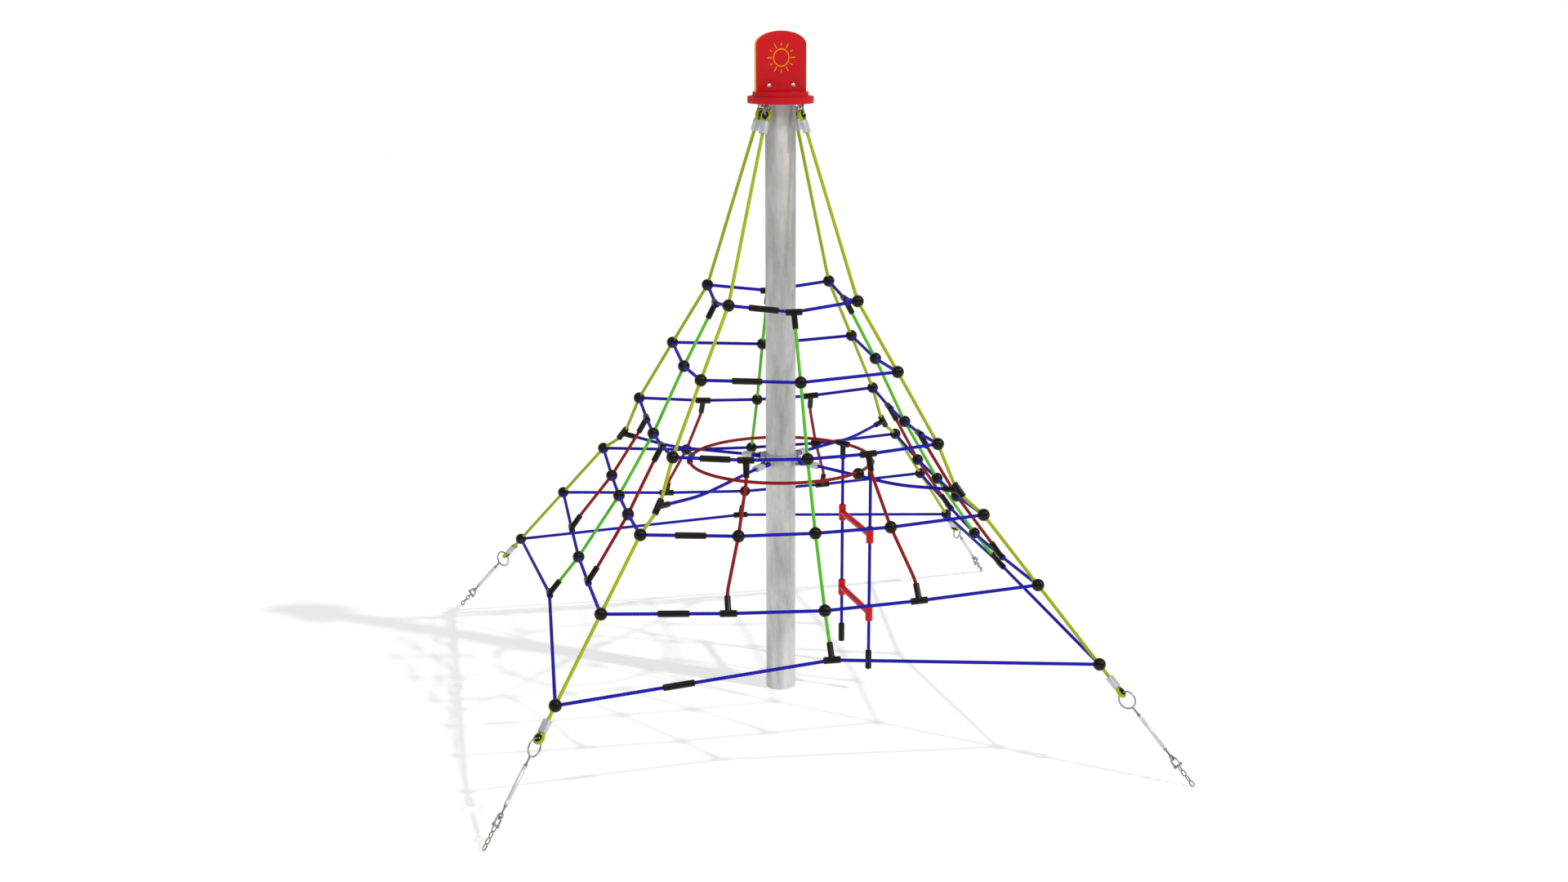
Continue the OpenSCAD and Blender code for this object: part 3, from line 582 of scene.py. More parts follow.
def mastFinish():
    paint = Paint("galvanised mast", Metallic=0.55, Specular_IOR_Level=0.4)
    tall = paint.stretched((8.0, 8.0, 2.0))                  # patches are taller than they are wide
    runs = paint.stretched((26.0, 26.0, 2.0))
    clouds = paint.noise(1.0, 4.0, 0.6, tall)
    streaks = paint.noise(1.0, 3.0, 0.5, runs)
    flakes = {"Vector": paint.stretched((1, 1, 0.6)), "Scale": 70.0}
    cells = paint.node("ShaderNodeTexVoronoi", {"feature": "F1"}, flakes)
    shades = paint.node("ShaderNodeSeparateColor", None, {0: cells.outputs["Color"]})
    spangle = Amount(paint, shades.outputs[0])
    level = clouds * 1.05 + streaks * 0.2 + spangle * 0.04 - 0.1
    ramp = paint.node("ShaderNodeValToRGB", {"stops": [
        (0.30, (0.34, 0.34, 0.345)), (0.47, (0.5, 0.5, 0.49)),
        (0.60, (0.62, 0.62, 0.6)), (0.78, (0.82, 0.8, 0.76))]}, {0: level})
    paint.use("Base Color", ramp.outputs[0])
    paint.use("Roughness", 0.2 + 0.34 * clouds)
    paint.bump(streaks * 0.6 + spangle * 0.4, 0.0003, 0.4)
    return paint.material


def plasticFinish(name, colour, worn, rough, shine=0.24, texture=260.0):
    paint = Paint(name, Specular_IOR_Level=shine, Specular_Tint=(1.0, 0.86, 0.72, 1.0))
    clouds = paint.noise(14.0, 3.0)
    pores = paint.noise(texture, 2.0)
    paint.use("Base Color", paint.mix((clouds * 0.8 + pores * 0.4 - 0.2).fitted(0.25, 0.85), colour, worn))
    paint.use("Roughness", rough + 0.14 * clouds)
    paint.bump(pores, 0.00025, 0.35)
    return paint.material


board = {"coreHalf": 0.0078}


def boardFinish():                                           # red skins on a yellow core
    paint = Paint("red board", Specular_IOR_Level=0.16)
    turn = math.radians(panelTurn)
    way = (-math.sin(turn), math.cos(turn), 0.0)
    depth = paint.node("ShaderNodeVectorMath", {"operation": "DOT_PRODUCT"}, {0: paint.place, 1: way})
    depth = abs(Amount(paint, depth.outputs["Value"]))
    height = Amount(paint, paint.node("ShaderNodeSeparateXYZ", None, {0: paint.place}).outputs[2])
    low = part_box("sign_panel")[0]
    core = 1 - (depth > board["coreHalf"])
    core = core * (height > low.z + 0.0005)                  # the cap is the same board, red all through
    grain = paint.noise(320.0, 2.0)
    clouds = paint.noise(6.0, 2.0)
    red = paint.mix(clouds, (0.54, 0.006, 0.01), (0.6, 0.008, 0.013))
    yellow = paint.mix(clouds, (0.95, 0.46, 0.004), (1.0, 0.54, 0.01))
    paint.use("Base Color", paint.mix(core, red, yellow))
    paint.use("Roughness", 0.42 + 0.12 * grain)
    paint.bump(grain, 0.0002, 0.25)
    return paint.material


print("placing materials")
finishes = {
    "mast": mastFinish(),
    "galvanised_steel": zincFinish("galvanised steel", (0.6, 0.6, 0.58), (0.36, 0.36, 0.37), 0.45, 0.4, 22.0),
    "red_panel": boardFinish(),
    "stainless_bolt": zincFinish("stainless bolt", (0.8, 0.81, 0.82), (0.6, 0.61, 0.62), 0.9, 0.2, 60.0),
    "bright_zinc": zincFinish("bright zinc", (0.5, 0.51, 0.52), (0.26, 0.27, 0.28), 0.75, 0.28, 40.0),
    "pale_zinc": zincFinish("pale zinc", (0.84, 0.82, 0.81), (0.68, 0.67, 0.66), 0.4, 0.34, 40.0),
    "dull_chain": zincFinish("dull chain", (0.46, 0.45, 0.42), (0.24, 0.23, 0.21), 0.6, 0.42, 60.0),
    "pressed_aluminium": zincFinish(
        "pressed aluminium", (0.63, 0.65, 0.67), (0.54, 0.56, 0.58), 0.3, 0.38, 30.0),
    "black_thimble": plasticFinish("black thimble", (0.004, 0.004, 0.005), (0.01, 0.01, 0.012), 0.28),
    # for each rope: colour, darker tone, the colour of the tracer yarn and of the painted shade in the strand
    # valleys, and how strong that painted shade is
    "yellow_rope": ropeFinish(
        "yellow rope", (0.6, 0.68, 0.003), (0.38, 0.47, 0.002), (0.05, 0.085, 0.002), 0.6),
    "blue_rope": ropeFinish(
        "blue rope", (0.012, 0.005, 0.7), (0.003, 0.001, 0.4), (0.001, 0.001, 0.045), 0.85),
    "green_rope": ropeFinish("green rope", (0.17, 0.84, 0.03), (0.1, 0.58, 0.015), (0.03, 0.26, 0.008), 0.75),
    "red_rope": ropeFinish("red rope", (0.5, 0.008, 0.007), (0.3, 0.002, 0.002), (0.04, 0.001, 0.001), 0.85),
    "red_rung": plasticFinish("red rung", (0.64, 0.002, 0.006), (0.7, 0.008, 0.012), 0.3),
    "black_connector": plasticFinish("black connector", (0.004, 0.003, 0.002), (0.009, 0.007, 0.005), 0.24),
}
redEnamel = plasticFinish("red enamel", (0.5, 0.004, 0.006), (0.58, 0.01, 0.012), 0.3)


# ---- ropes: six strands laid round each other
rope = {"strands": 6, "perStrand": 5, "valley": 0.1, "step": 0.008, "intoTee": 0.02}


def roundedWay(points, reach=0.02):                          # each bend becomes a short curve
    way = [points[0]]
    for a, b, c in zip(points, points[1:], points[2:]):
        back, on = (a - b), (c - b)
        cut = min(reach, 0.48 * back.length, 0.48 * on.length)
        start, end = b + cut * back.normalized(), b + cut * on.normalized()
        for j in range(7):
            t = j / 6
            way.append((1 - t) ** 2 * start + 2 * t * (1 - t) * b + t * t * end)
    way.append(points[-1])
    return way


def evenWay(way, step):                                      # points at even steps along it
    lengths = [0.0]
    for a, b in zip(way, way[1:]):
        lengths.append(lengths[-1] + (b - a).length)
    count = max(2, round(lengths[-1] / step))
    even, j = [], 0
    for n in range(count + 1):
        s = lengths[-1] * n / count
        while j < len(way) - 2 and lengths[j + 1] < s:
            j += 1
        span = lengths[j + 1] - lengths[j]
        even.append(way[j].lerp(way[j + 1], (s - lengths[j]) / span if span > 0 else 0))
    return even, lengths[-1]


def layRope(name, way, pitch):                               # pitch is the length of one turn of the strands
    way, length = evenWay(way, rope["step"])
    count = rope["strands"] * rope["perStrand"]
    level = []
    for j in range(count):
        crown = math.cos(math.pi * (2 * j / rope["perStrand"] % 2 - 1))
        level.append(net["ropeRadius"] * (1 - rope["valley"] * (0.5 - 0.5 * crown) ** 1.6))
    points, faces, sheet = [], [], []
    side = None
    for n, here in enumerate(way):
        ahead = (way[min(n + 1, len(way) - 1)] - way[max(n - 1, 0)]).normalized()
        side = ahead.orthogonal() if side is None else side
        side = (side - side.dot(ahead) * ahead).normalized()
        other = ahead.cross(side)
        twist = 2 * math.pi * length * n / (len(way) - 1) / pitch
        for j in range(count):
            a = 2 * math.pi * j / count + twist
            points.append(here + level[j] * (math.cos(a) * side + math.sin(a) * other))
    for n in range(len(way) - 1):
        low, high = (length * m / (len(way) - 1) for m in (n, n + 1))
        for j in range(count):
            k = (j + 1) % count
            faces.append((n * count + j, n * count + k, (n + 1) * count + k, (n + 1) * count + j))
            u, v = j / rope["perStrand"], (j + 1) / rope["perStrand"]
            sheet += [u, low, v, low, v, high, u, high]
    for ring in (list(range(count))[::-1], list(range(len(points) - count, len(points)))):
        faces.append(tuple(ring))
        sheet += [0.5, 0.0] * count
    mesh = bpy.data.meshes.new(name)
    mesh.from_pydata(points, [], faces)
    mesh.uv_layers.new(name="lay").data.foreach_set("uv", sheet)
    thing = bpy.data.objects.new(name, mesh)
    bpy.context.scene.collection.objects.link(thing)
    return thing


lays = {"yellow_rope": 0.11, "blue_rope": 0.084, "green_rope": 0.062, "red_rope": 0.092}


def eyeWay(point, way):                                      # from the tail, round the thimble and out
    tail = [(-0.0095, 0.045), (-0.0098, 0.004)]              # places in the ferrule
    out = [(0.0098, 0.004), (0.006, 0.025), (0, 0.048)]
    local = [Vector((0, y, eye["ferruleAt"] + z)) for y, z in tail]
    for angle in range(-140, 141, 20):
        a = math.radians(angle)
        local.append(Vector((0, eye["radius"] * math.sin(a), -eye["radius"] * math.cos(a))))
    local += [Vector((0, y, eye["ferruleAt"] + z)) for y, z in out]
    return [aim(point, way) @ p for p in local]


def stemMouth(point, way, past=0.012):
    return point + (tee["stemLength"] + past) * way


def squareTo(point, a, b, target):                           # square to the rope, towards the target
    along = ((b - point).normalized() - (a - point).normalized()).normalized()
    way = target - point
    return (way - way.dot(along) * along).normalized()


def braceEnds(i, k, side):
    return (corner(i, k - 1), middle(i, k)) if side < 0 else (middle(i, k), corner(i, k))


def braceStem(i, k, side):
    return squareTo(brace(i, k, side), *braceEnds(i, k, side), brace(2, k, side))


def mainWay(k):
    mouth = (tee["barLength"] / 2 + 0.004) * innerBar(k)
    points = eyeWay(*eyes[k])
    points += [corner(5, k), corner(4, k), corner(3, k)]
    points += [innerTee(k) + mouth, innerTee(k), innerTee(k) - mouth]
    points += [corner(2, k), corner(1, k), corner(0, k)]
    return roundedWay(points + eyeWay(*eyes[8 + k])[::-1])


def ringSide(i, k):
    braced = 0 < i < 4
    points = [corner(i, k - 1)]
    points += [brace(i, k, -1)] if braced else []
    points += [middle(i, k)]
    return points + ([brace(i, k, 1)] if braced else [])


def ringWay(i):
    front = ringSide(i, 3)
    points = [sleeveMiddle(i), *front[1:]]
    for k in range(3):
        points += ringSide(i, k)
    return roundedWay(points + [front[0], sleeveMiddle(i)], reach=0.026)


def sideWay(k):
    points = [middle(i, k) for i in range(6)]
    low = (points[1] - points[0]).normalized()
    top = (points[4] - points[5]).normalized()
    into = rope["intoTee"]
    return roundedWay([points[0] + into * low, *points[1:5], points[5] + into * top])


def braceWay(k, side):
    low, top = brace(1, k, side), brace(3, k, side)
    lowStem, topStem = braceStem(1, k, side), braceStem(3, k, side)
    into = rope["intoTee"]
    points = [low + into * lowStem, stemMouth(low, lowStem), brace(2, k, side), stemMouth(top, topStem)]
    return roundedWay(points + [top + into * topStem], reach=0.03)


def innerWay(k):
    stem = (innerLow(k) - innerTee(k)).normalized()
    points = eyeWay(*eyes[4 + k]) + [innerLow(k), innerTee(k) + inner["intoTee"] * stem]
    return roundedWay(points, reach=inner["bend"])


def hoopWay():
    start = hoop["sleeveAzimuth"]
    return [polar(hoop["radius"], start + a, hoopHeight()) for a in range(0, 361, 3)]


endSleeve = {"radius": 0.015, "length": 0.092, "rounding": 0.004, "mouth": 0.0088, "depth": 0.006}


def makeEndSleeve(place, name):                              # closed below, with the rope's mouth on top
    s = endSleeve
    top = roundEnd(s["radius"], s["length"], s["rounding"], s["mouth"], s["depth"])
    foot = [(r, s["length"] - z) for r, z in roundEnd(s["radius"], s["length"], s["rounding"])]
    sleeve = lay(turnOutline(foot[::-1] + top, 36), Matrix.Translation(place))
    sleeve.name = name
    return finish(sleeve, "ladder", "black_connector", "ladder_end_sleeves")


def makeLadderRopes():
    top = hoopHeight() - tee["stemLength"]
    high, low = top + ladder["intoTee"], ladder["ropeEnd"]
    for side, name in ((-1, "front"), (1, "back")):
        sleeve = makeEndSleeve(ladderSide(side, ladder["foot"]), f"end_sleeve_{name}")
        path = [ladderSide(side, high + (low - high) * j / 20) for j in range(21)]
        thing = layRope(f"ladder_rope_{name}_laid", path, lays["blue_rope"])
        bend = [ladderSide(side, top + ladder["bendAbove"]), ladderSide(side, top - ladder["bendBelow"])]
        finish(thing, "ladder", "blue_rope", f"ladder_rope_{name}", smooth=180, bend=bend)
        ladderSide(side, top)
        high - low


def holdRopes(node, slotName, ways):                         # ropes of the taut net, in one piece
    laid = [layRope(node, way, lays[slotName]) for way in ways]
    finish(joined(node + "_laid", laid), "root", slotName, node, smooth=180)


def makeNetRopes():
    for k in range(4):
        holdRopes(f"main_rope_{k + 1}", "yellow_rope", [mainWay(k)])
        holdRopes(f"side_rope_{k + 1}", "green_rope", [sideWay(k)])
        holdRopes(f"brace_ropes_{k + 1}", "red_rope", [braceWay(k, side) for side in (-1, 1)])
    for i in range(6):
        holdRopes(f"ring_rope_{i + 1}", "blue_rope", [ringWay(i)])
    holdRopes("inner_ropes", "blue_rope", [innerWay(k) for k in range(4)])
    holdRopes("hoop_rope", "red_rope", [hoopWay()])


print("laying ropes")
makeLadderRopes()
makeNetRopes()


# ---- connectors: balls, tees and sleeves moulded round the ropes
def makeBalls():
    r = net["ballRadius"]
    angles = [*range(-90, 0, 10), -2.6, -1, 1, 2.6, *range(10, 91, 10)]
    outline = []
    for a in angles:
        size = r - (net["partingDepth"] if abs(a) < 2 else 0)  # parting line of the two moulded halves
        outline.append((size * math.cos(math.radians(a)), size * math.sin(math.radians(a))))
    hoopBall = polar(hoop["radius"], hoop["ballAzimuth"], hoopHeight() - hoop["step"] / 2)
    spots = {
        "corner_balls": [(corner(i, k), cornerAzimuth(k), 1) for k in range(4) for i in range(6)],
        "side_balls": [(middle(i, k), 90 * k, 0.6) for k in range(4) for i in range(1, 5)],
        "brace_balls": [(brace(2, k, side), 90 * k, 0.6) for k in range(4) for side in (-1, 1)],
        "hoop_ball": [(hoopBall, hoop["ballAzimuth"], 4)],
    }
    for node, places in spots.items():
        turned = [aim(point, polar(1, azimuth, up).normalized()) for point, azimuth, up in places]
        finish(copies(node + "_moulded", turnOutline(outline, 40), turned), "root", "black_connector", node)


def makeBar():
    half = tee["barLength"] / 2
    outline = bothEnds(tee["barRadius"], half, tee["rounding"], tee["mouthRadius"], tee["mouthDepth"])
    return lay(turnOutline(outline, 36), Matrix.Rotation(math.pi / 2, 4, "Y"))


def makeStem(rounding, flared):                              # flared where it grows out of the bar
    r, bar = tee["stemRadius"], tee["barRadius"]
    outline = [(0, 0.006), (r, 0.008)]
    if flared:
        outline = [(0, 0.009), (r + 0.0032, 0.0145), (r + 0.0014, 0.0158), (r + 0.0004, 0.0178), (r, 0.0205)]
    outline += roundEnd(r, tee["stemLength"], rounding, tee["mouthRadius"], tee["mouthDepth"])
    stem = turnOutline(outline, 36)
    if flared:
        for v in stem.data.vertices:                         # the foot follows the round of the bar
            if v.co.z < 0.021:
                v.co.y = max(-bar + 0.0002, min(bar - 0.0002, v.co.y))
                v.co.z += math.sqrt(bar ** 2 - v.co.y ** 2) - bar
    return stem


def makeTees():
    spots = {node: [] for node in ("low_side_tees", "top_side_tees", "low_brace_tees", "top_brace_tees")}
    for k in range(4):
        for i, node, target in ((0, "low_side_tees", 1), (5, "top_side_tees", 4)):
            along = corner(i, k) - corner(i, k - 1)
            spots[node].append(pose(middle(i, k), along, middle(target, k) - middle(i, k)))
        for i, node in ((1, "low_brace_tees"), (3, "top_brace_tees")):
            for side in (-1, 1):
                here = brace(i, k, side)
                before, after = braceEnds(i, k, side)
                along = (after - here).normalized() - (before - here).normalized()
                spots[node].append(pose(here, along, braceStem(i, k, side)))
    spots["ladder_tees"] = []
    for side in (-1, 1):
        here = ladderSide(side, hoopHeight())
        spots["ladder_tees"].append(pose(here, Vector((-here.y, here.x, 0)), Vector((0, 0, -1))))
    for node, places in spots.items():
        master = joined("tee", [makeBar(), makeStem(tee["rounding"], True)])
        finish(copies(node + "_moulded", master, places), "root", "black_connector", node)


def makeInnerTees():
    bars, stems = [], []
    for k in range(4):
        here = innerTee(k)
        bars.append(pose(here, innerBar(k), Vector((0, 0, 1))))
        stems.append(aim(here, (innerLow(k) - here).normalized()))
    stem = makeStem(inner["stemRounding"], False)
    parts = [copies("bars", makeBar(), bars), copies("stems", stem, stems)]
    finish(joined("inner_tees_moulded", parts), "root", "black_connector", "inner_tees")


ropeSleeve = {"radius": 0.01425, "length": 0.135, "rounding": 0.0048}


def makeSleeves():
    s, half = ropeSleeve, ropeSleeve["length"] / 2
    outline = bothEnds(s["radius"], half, s["rounding"], tee["mouthRadius"], tee["mouthDepth"])
    places = [aim(sleeveMiddle(i), (sleeveEnd(i) - corner(i, 2)).normalized()) for i in range(6)]
    straight = copies("ring_sleeves_moulded", turnOutline(outline, 36), places)
    finish(straight, "root", "black_connector", "ring_sleeves")
    rows = [half * j / 6 for j in range(-5, 6)]
    outline = bothEnds(s["radius"], half, s["rounding"], tee["mouthRadius"], tee["mouthDepth"], rows)
    curved = turnOutline(outline, 36)
    for v in curved.data.vertices:                           # bent round the hoop
        turn = hoop["sleeveAzimuth"] + math.degrees(v.co.z / hoop["radius"])
        v.co = polar(hoop["radius"] + v.co.x, turn, hoopHeight() - v.co.y)
    curved.name = "hoop_sleeve_moulded"
    finish(curved, "root", "black_connector", "hoop_sleeve")


print("moulding connectors")
makeBalls()
makeTees()
makeInnerTees()
makeSleeves()


# ---- rope ends: thimbles, ferrules and shackles
thimble = {"bore": 0.0085, "rim": 0.017, "half": 0.009, "groove": 0.0083}


def makeThimbles():
    t = thimble
    side = [(t["bore"], t["half"] - 0.0012), (t["bore"] + 0.0012, t["half"]), (t["rim"] - 0.0012, t["half"]),
            (t["rim"], t["half"] - 0.0007)]
    groove = []
    for a in range(-66, 67, 12):
        angle = math.radians(a)
        groove.append((eye["radius"] - t["groove"] * math.cos(angle), t["groove"] * math.sin(angle)))
    outline = [(r, -z) for r, z in side] + groove + side[::-1] + [(side[0][0], -side[0][1])]
    master = lay(turnOutline(outline, 36), Matrix.Rotation(math.pi / 2, 4, "Y"))
    finish(copies("thimbles_moulded", master, [aim(*e) for e in eyes]), "root", "black_thimble", "thimbles")


def makeFerrules():
    size = (eye["ferruleThickness"], eye["ferruleWidth"], eye["ferruleLength"])
    quiet()
    bpy.ops.mesh.primitive_cube_add(size=1, location=(0, 0, size[2] / 2), scale=size)
    bpy.ops.object.transform_apply(location=True, rotation=True, scale=True)
    block = bpy.context.object
    pick(block, "EDGE", lambda ends: (ends[0].xy - ends[1].xy).length < 1e-6)
    bpy.ops.mesh.bevel(offset=0.0075, segments=6, affect="EDGES")
    for end in (0, size[2]):
        pick(block, "FACE", lambda face: all(abs(c.z - end) < 1e-6 for c in face))
        bpy.ops.mesh.inset(thickness=0.0022)
        push((0, 0, 0.0009 if end else -0.0009))
        push((0, 0, -0.0018 if end else 0.0018))             # dished where the rope was pressed
    soften(block, 0.0009, 3, 30)
    raised = Matrix.Translation((0, 0, eye["ferruleAt"]))
    places = [aim(*e) @ raised for e in eyes]
    finish(copies("ferrules_pressed", block, places), "root", "pressed_aluminium", "ferrules")


def makeShackles():
    s = shackle
    bow = lay(addRing(s["bowRadius"], s["wire"], 40, 14), Matrix.Rotation(math.pi / 2, 4, "X"))
    pick(bow, "VERT", lambda c: c[0].z < -1e-5)
    bpy.ops.mesh.delete(type="VERT")
    pick(bow, "VERT", lambda c: abs(c[0].z) < 1e-5)
    bpy.ops.mesh.extrude_edges_move(TRANSFORM_OT_translate={"value": (0, 0, s["bowRadius"] - s["length"])})
    bpy.ops.mesh.fill_holes(sides=0)
    lay(bow, Matrix.Translation((0, 0, s["length"] - s["bowRadius"])))
    ears = []
    for x in (-s["bowRadius"], s["bowRadius"]):
        ear = turnOutline(bothEnds(s["earRadius"], s["wire"] / 2, 0.0016, 0.0042, 0.003), 28)
        ears.append(lay(ear, Matrix.Translation((x, 0, 0)) @ Matrix.Rotation(math.pi / 2, 4, "Y")))
    places = [aim(*place) for place in shackles]
    master = joined("bow", [bow, *ears])
    finish(copies("shackle_bows_forged", master, places), "root", "bright_zinc", "shackle_bows")
    half = s["bowRadius"] + s["wire"] / 2 + footGear["gap"]
    end = roundEnd(s["headRadius"], half + s["headLength"], 0.0012)
    outline = [(s["pinRadius"], half), (s["headRadius"] - 0.0006, half)]
    outline += [(s["headRadius"], half + 0.0006)] + end
    outline = [(r, -z) for r, z in outline[::-1]] + outline
    pin = lay(turnOutline(outline, 28), Matrix.Rotation(math.pi / 2, 4, "Y"))
    pins = finish(copies("shackle_pins_turned", pin, places), "root", "bright_zinc", "shackle_pins")
    pins.data.materials.append(redEnamel)                    # the outer heads of the top pins are painted
    reach = [(place @ Vector((-half, 0, 0)), place @ Vector((half, 0, 0))) for place in places[:4]]
    outer = [max(ends, key=lambda p: p.xy.length) for ends in reach]
    for face in pins.data.polygons:
        if min((face.center - spot).length for spot in outer) < s["headRadius"] * 1.25:
            face.material_index = 1


print("fitting rope ends")
makeThimbles()
makeFerrules()
makeShackles()


# ---- foot gear: rings, rods, turnbuckles and chains
thread = {"pitch": 0.0016, "depth": 0.0006}


def threadedRod(length, plain):
    r = footGear["rod"] / 2
    outline = [(0, 0), (r - 0.0004, 0), (r, 0.0004), (r, plain)]
    z = plain
    while z + thread["pitch"] < length:
        outline += [(r - thread["depth"], z + thread["pitch"] / 2), (r, z + thread["pitch"])]
        z += thread["pitch"]
    return turnOutline(outline + [(r - 0.001, length), (0, length)], 20)


def makeRingRods():
    g, at = footGear, footAt
    ring = lay(addRing(at["ringRadius"], g["ringWire"], 56, 14), Matrix.Rotation(math.pi / 2, 4, "X"))
    rings = copies("rings", ring, [aim(foot(k, at["ring"]), footWay(k)) for k in range(4)])
    rod = threadedRod(at["body"] + g["threadIn"] - at["rod"], 0.01)
    half = g["rod"] / 2
    weld = [(0, 0.001), (half + 0.0012, 0.0015), (half + 0.0016, 0.004), (half + 0.0008, 0.0062), (0, 0.0066)]
    rod = joined("rod", [rod, turnOutline(weld, 20)])
    rods = copies("rods", rod, [aim(foot(k, at["rod"]), footWay(k)) for k in range(4)])
    finish(joined("ring_rods_welded", [rings, rods]), "root", "bright_zinc", "ring_rods")


def makeTurnbuckles():
    g, at = footGear, footAt
    r, bore, length = g["bodyDiameter"] / 2, g["rod"] / 2 + g["gap"], g["body"]
    end = [(0, 0.02), (bore, 0.02), (bore, 0.0008), (bore + 0.0008, 0), (r - 0.0016, 0), (r, 0.0016)]
    end += [(r, 0.017), (r - 0.0008, 0.018), (r - 0.0008, 0.021), (r, 0.022)]
    outline = end + [(radius, length - z) for radius, z in end[::-1]]
    for k in range(4):
        body = lay(turnOutline(outline, 32), aim(foot(k, at["body"]), footWay(k)))
        body.name = f"turnbuckle_{k + 1}_turned"
        finish(body, f"tensioner_{k + 1}", "bright_zinc", f"turnbuckle_{k + 1}", look="pale_zinc")


def makeNuts():
    g, at = footGear, footAt
    nut = addRod(g["nutHalf"] / math.cos(math.pi / 6), 0, g["nut"], 6)
    for end in (0, g["nut"]):
        pick(nut, "FACE", lambda face: all(abs(c.z - end) < 1e-6 for c in face))
        bpy.ops.mesh.inset(thickness=0.0011)
        push((0, 0, 0.0004 if end else -0.0004))
        push((0, 0, -0.0004 if end else 0.0004))
    soften(nut, 0.0007, 2, 30)
    spots = [at["body"] - g["nut"] - 2 * g["gap"], at["body"] + g["body"] + 2 * g["gap"]]
    places = [aim(foot(k, spot), footWay(k)) for k in range(4) for spot in spots]
    finish(copies("lock_nuts_pressed", nut, places), "root", "bright_zinc", "lock_nuts")


def makeEyeRods():
    g, at = footGear, footAt
    ring = lay(addRing(g["eyeRadius"], g["eyeWire"], 40, 14), Matrix.Rotation(math.pi / 2, 4, "Y"))
    start = at["body"] + g["body"] - g["threadIn"]
    rod = threadedRod(at["rodEye"] - g["eyeRadius"] - start + 0.001, 0.0)
    lay(rod, Matrix.Translation((0, 0, start - at["rodEye"])))
    places = [aim(foot(k, at["rodEye"]), footWay(k)) for k in range(4)]
    master = joined("eye_rod", [ring, rod])
    finish(copies("eye_rods_forged", master, places), "root", "bright_zinc", "eye_rods")


def makeChains():
    g, at = footGear, footAt
    link = lay(addRing(at["linkRadius"], g["linkWire"], 28, 12), Matrix.Rotation(math.pi / 2, 4, "X"))
    for way in (1, -1):                                      # a ring, pulled out into a link
        pick(link, "VERT", lambda c: c[0].z * way > -1e-6)
        push((0, 0, way * at["linkHalf"]))
    places = []
    for k in range(4):
        for i in range(g["links"]):
            turn = Matrix.Rotation(math.pi / 2 * ((g["links"] - 1 - i) % 2), 4, "Z")
            places.append(aim(foot(k, at["link"] + i * at["pitch"]), footWay(k)) @ turn)
    finish(copies("anchor_chains_forged", link, places), "root", "dull_chain", "anchor_chains")


print("making foot gear")
makeRingRods()
makeTurnbuckles()
makeNuts()
makeEyeRods()
makeChains()


# ---- ladder
rung = {
    "radius": 0.015,
    "socketRadius": 0.0175,
    "socketHalf": 0.04,
    "rounding": 0.004,
    "mouth": 0.0088,
    "depth": 0.006,
}


def makeRungs():
    places = []
    for i in range(2):
        a, b = (ladderSide(side, ladder["lowRung"] + i * ladder["rungRise"]) for side in (-1, 1))
        places.append(pose(a, b - a, Vector((0, 0, 1))))
    bar = addRod(rung["radius"], 0.002, ladder["width"] - 0.002, 36)
    lay(bar, Matrix.Rotation(math.pi / 2, 4, "Y"))
    parts = [bar]
    for x in (0, ladder["width"]):
        outline = bothEnds(
            rung["socketRadius"], rung["socketHalf"], rung["rounding"], rung["mouth"], rung["depth"])
        parts.append(lay(turnOutline(outline, 36), Matrix.Translation((x, 0, 0))))
    master = joined("rung", parts)
    finish(copies("ladder_rungs_moulded", master, places), "ladder", "red_rung", "ladder_rungs")


print("making rungs")
makeRungs()


# ---- head, mast and collar
cap = {"rounding": 0.002, "gap": 0.0003}


def makeCap():
    low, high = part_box("cap_disc")
    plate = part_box("head_plate")[1]
    under, room = plate.z, plate.x + cap["gap"]
    outline = [(0, under), (room, under), (room, low.z), (high.x - cap["rounding"], low.z)]
    outline += [(r, low.z + high.z - z) for r, z in roundEnd(high.x, high.z, cap["rounding"])[3::-1]]
    disc = turnOutline(outline + roundEnd(high.x, high.z, cap["rounding"]), 128)
    disc.name = "cap_disc_turned"
    finish(disc, "root", "red_panel", "cap_disc")
    low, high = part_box("cap_ring")
    end = roundEnd(high.x, high.z, cap["rounding"])
    disc = turnOutline([(0, low.z), (high.x, low.z)] + end, 128)
    disc.name = "cap_ring_turned"
    finish(disc, "root", "red_panel", "cap_ring")


edges = {"steel": 0.0008, "board": 0.0006, "bolt": 0.0004}


def ease(node, slotName, width, look=None):                  # a merged copy of a node, its edges eased
    thing = bpy.data.objects.new(node + "_eased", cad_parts[node].data.copy())
    bpy.context.scene.collection.objects.link(thing)
    apply(thing, "WELD", merge_threshold=0.00001)
    soften(thing, width)
    finish(thing, "root", slotName, node, look=look)


print("finishing the head, mast and collar")
makeCap()
ease("mast", "galvanised_steel", edges["steel"], "mast")
ease("sign_panel", "red_panel", edges["board"])
for part in ("head_plate", "panel_brackets", "collar_halves"):
    ease(part, "galvanised_steel", edges["steel"])
for part in ("panel_bolts", "cap_screws", "collar_bolts"):
    ease(part, "stainless_bolt", edges["bolt"])


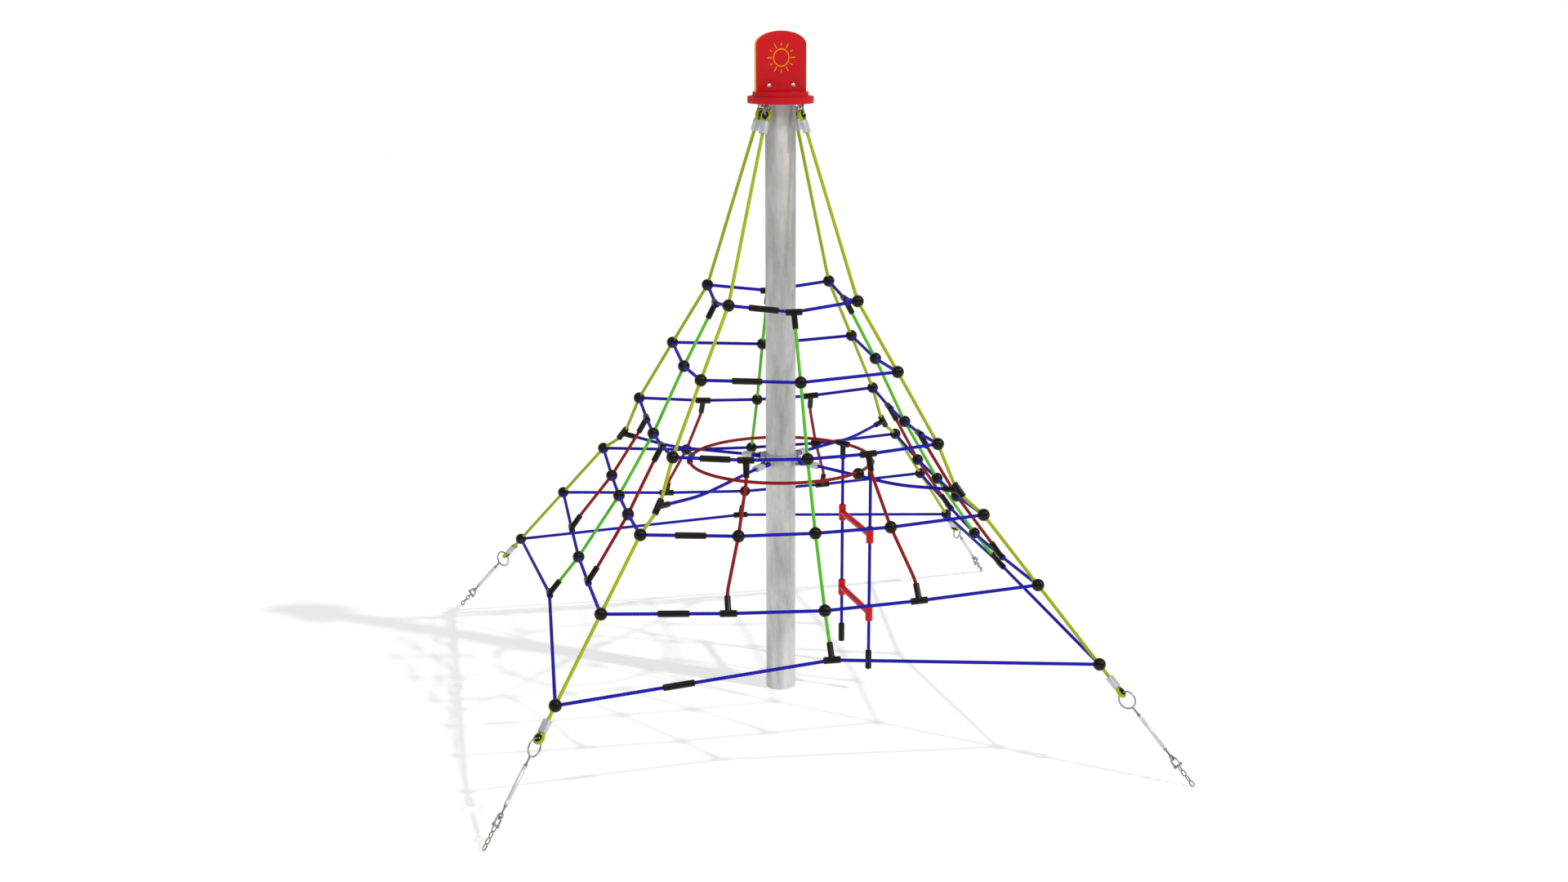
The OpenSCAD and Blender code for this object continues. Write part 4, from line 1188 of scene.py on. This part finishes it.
# ---- floor and light
studio = {
    "floorSize": 60,
    "floorGlow": 0.38,
    "sky": 0.4,
    "sunStrength": 1.2,
    "sunHeading": 56,
    "sunHeight": 46,
    "sunAngle": 0.03,
    "boxStrength": 60,
    "boxHeading": -20,
    "boxHeight": 55,
    "boxSize": 2.4,
}


def layFloor():
    quiet()
    bpy.ops.mesh.primitive_plane_add(size=studio["floorSize"], location=(0, 0, -0.0005))
    floor = bpy.context.object
    floor.name = "floor"
    paint = Paint("floor", Roughness=0.9, Specular_IOR_Level=0.0)
    paint.surface.inputs["Emission Color"].default_value = (1, 1, 1, 1)
    paint.surface.inputs["Emission Strength"].default_value = studio["floorGlow"]
    paint.use("Base Color", paint.mix(paint.noise(0.4), (0.9, 0.9, 0.9), (0.92, 0.92, 0.92)))
    floor.data.materials.append(paint.material)


def addLight(name, kind, heading, height, distance, target=(0, 0, 1.2), **settings):
    data = bpy.data.lights.new(name, kind)
    for setting, value in settings.items():
        setattr(data, setting, value)
    thing = bpy.data.objects.new(name, data)
    bpy.context.scene.collection.objects.link(thing)
    h, e = math.radians(heading), math.radians(height)
    way = Vector((math.sin(h) * math.cos(e), -math.cos(h) * math.cos(e), math.sin(e)))
    thing.location = Vector(target) + distance * way
    thing.rotation_mode = "QUATERNION"
    thing.rotation_quaternion = (-way).to_track_quat("-Z", "Y")


def lightStudio():
    world = bpy.data.worlds.new("studio")
    bpy.context.scene.world = world
    world.use_nodes = True
    nodes, links = world.node_tree.nodes, world.node_tree.links
    seen = nodes.new("ShaderNodeLightPath")
    level = nodes.new("ShaderNodeMapRange")                  # white to the camera, softer as light
    level.inputs["To Min"].default_value = studio["sky"]
    level.inputs["To Max"].default_value = 1.0
    links.new(seen.outputs["Is Camera Ray"], level.inputs["Value"])
    links.new(level.outputs[0], nodes["Background"].inputs["Strength"])
    nodes["Background"].inputs["Color"].default_value = (1, 1, 1, 1)
    s = studio
    addLight("sun", "SUN", s["sunHeading"], s["sunHeight"], 8, energy=s["sunStrength"], angle=s["sunAngle"])
    strength, size = s["boxStrength"], s["boxSize"]
    addLight("softbox", "AREA", s["boxHeading"], s["boxHeight"], 6, energy=strength, size=size)
    bpy.context.scene.view_settings.view_transform = "Standard"


print("lighting the studio")
layFloor()
lightStudio()

print("done")
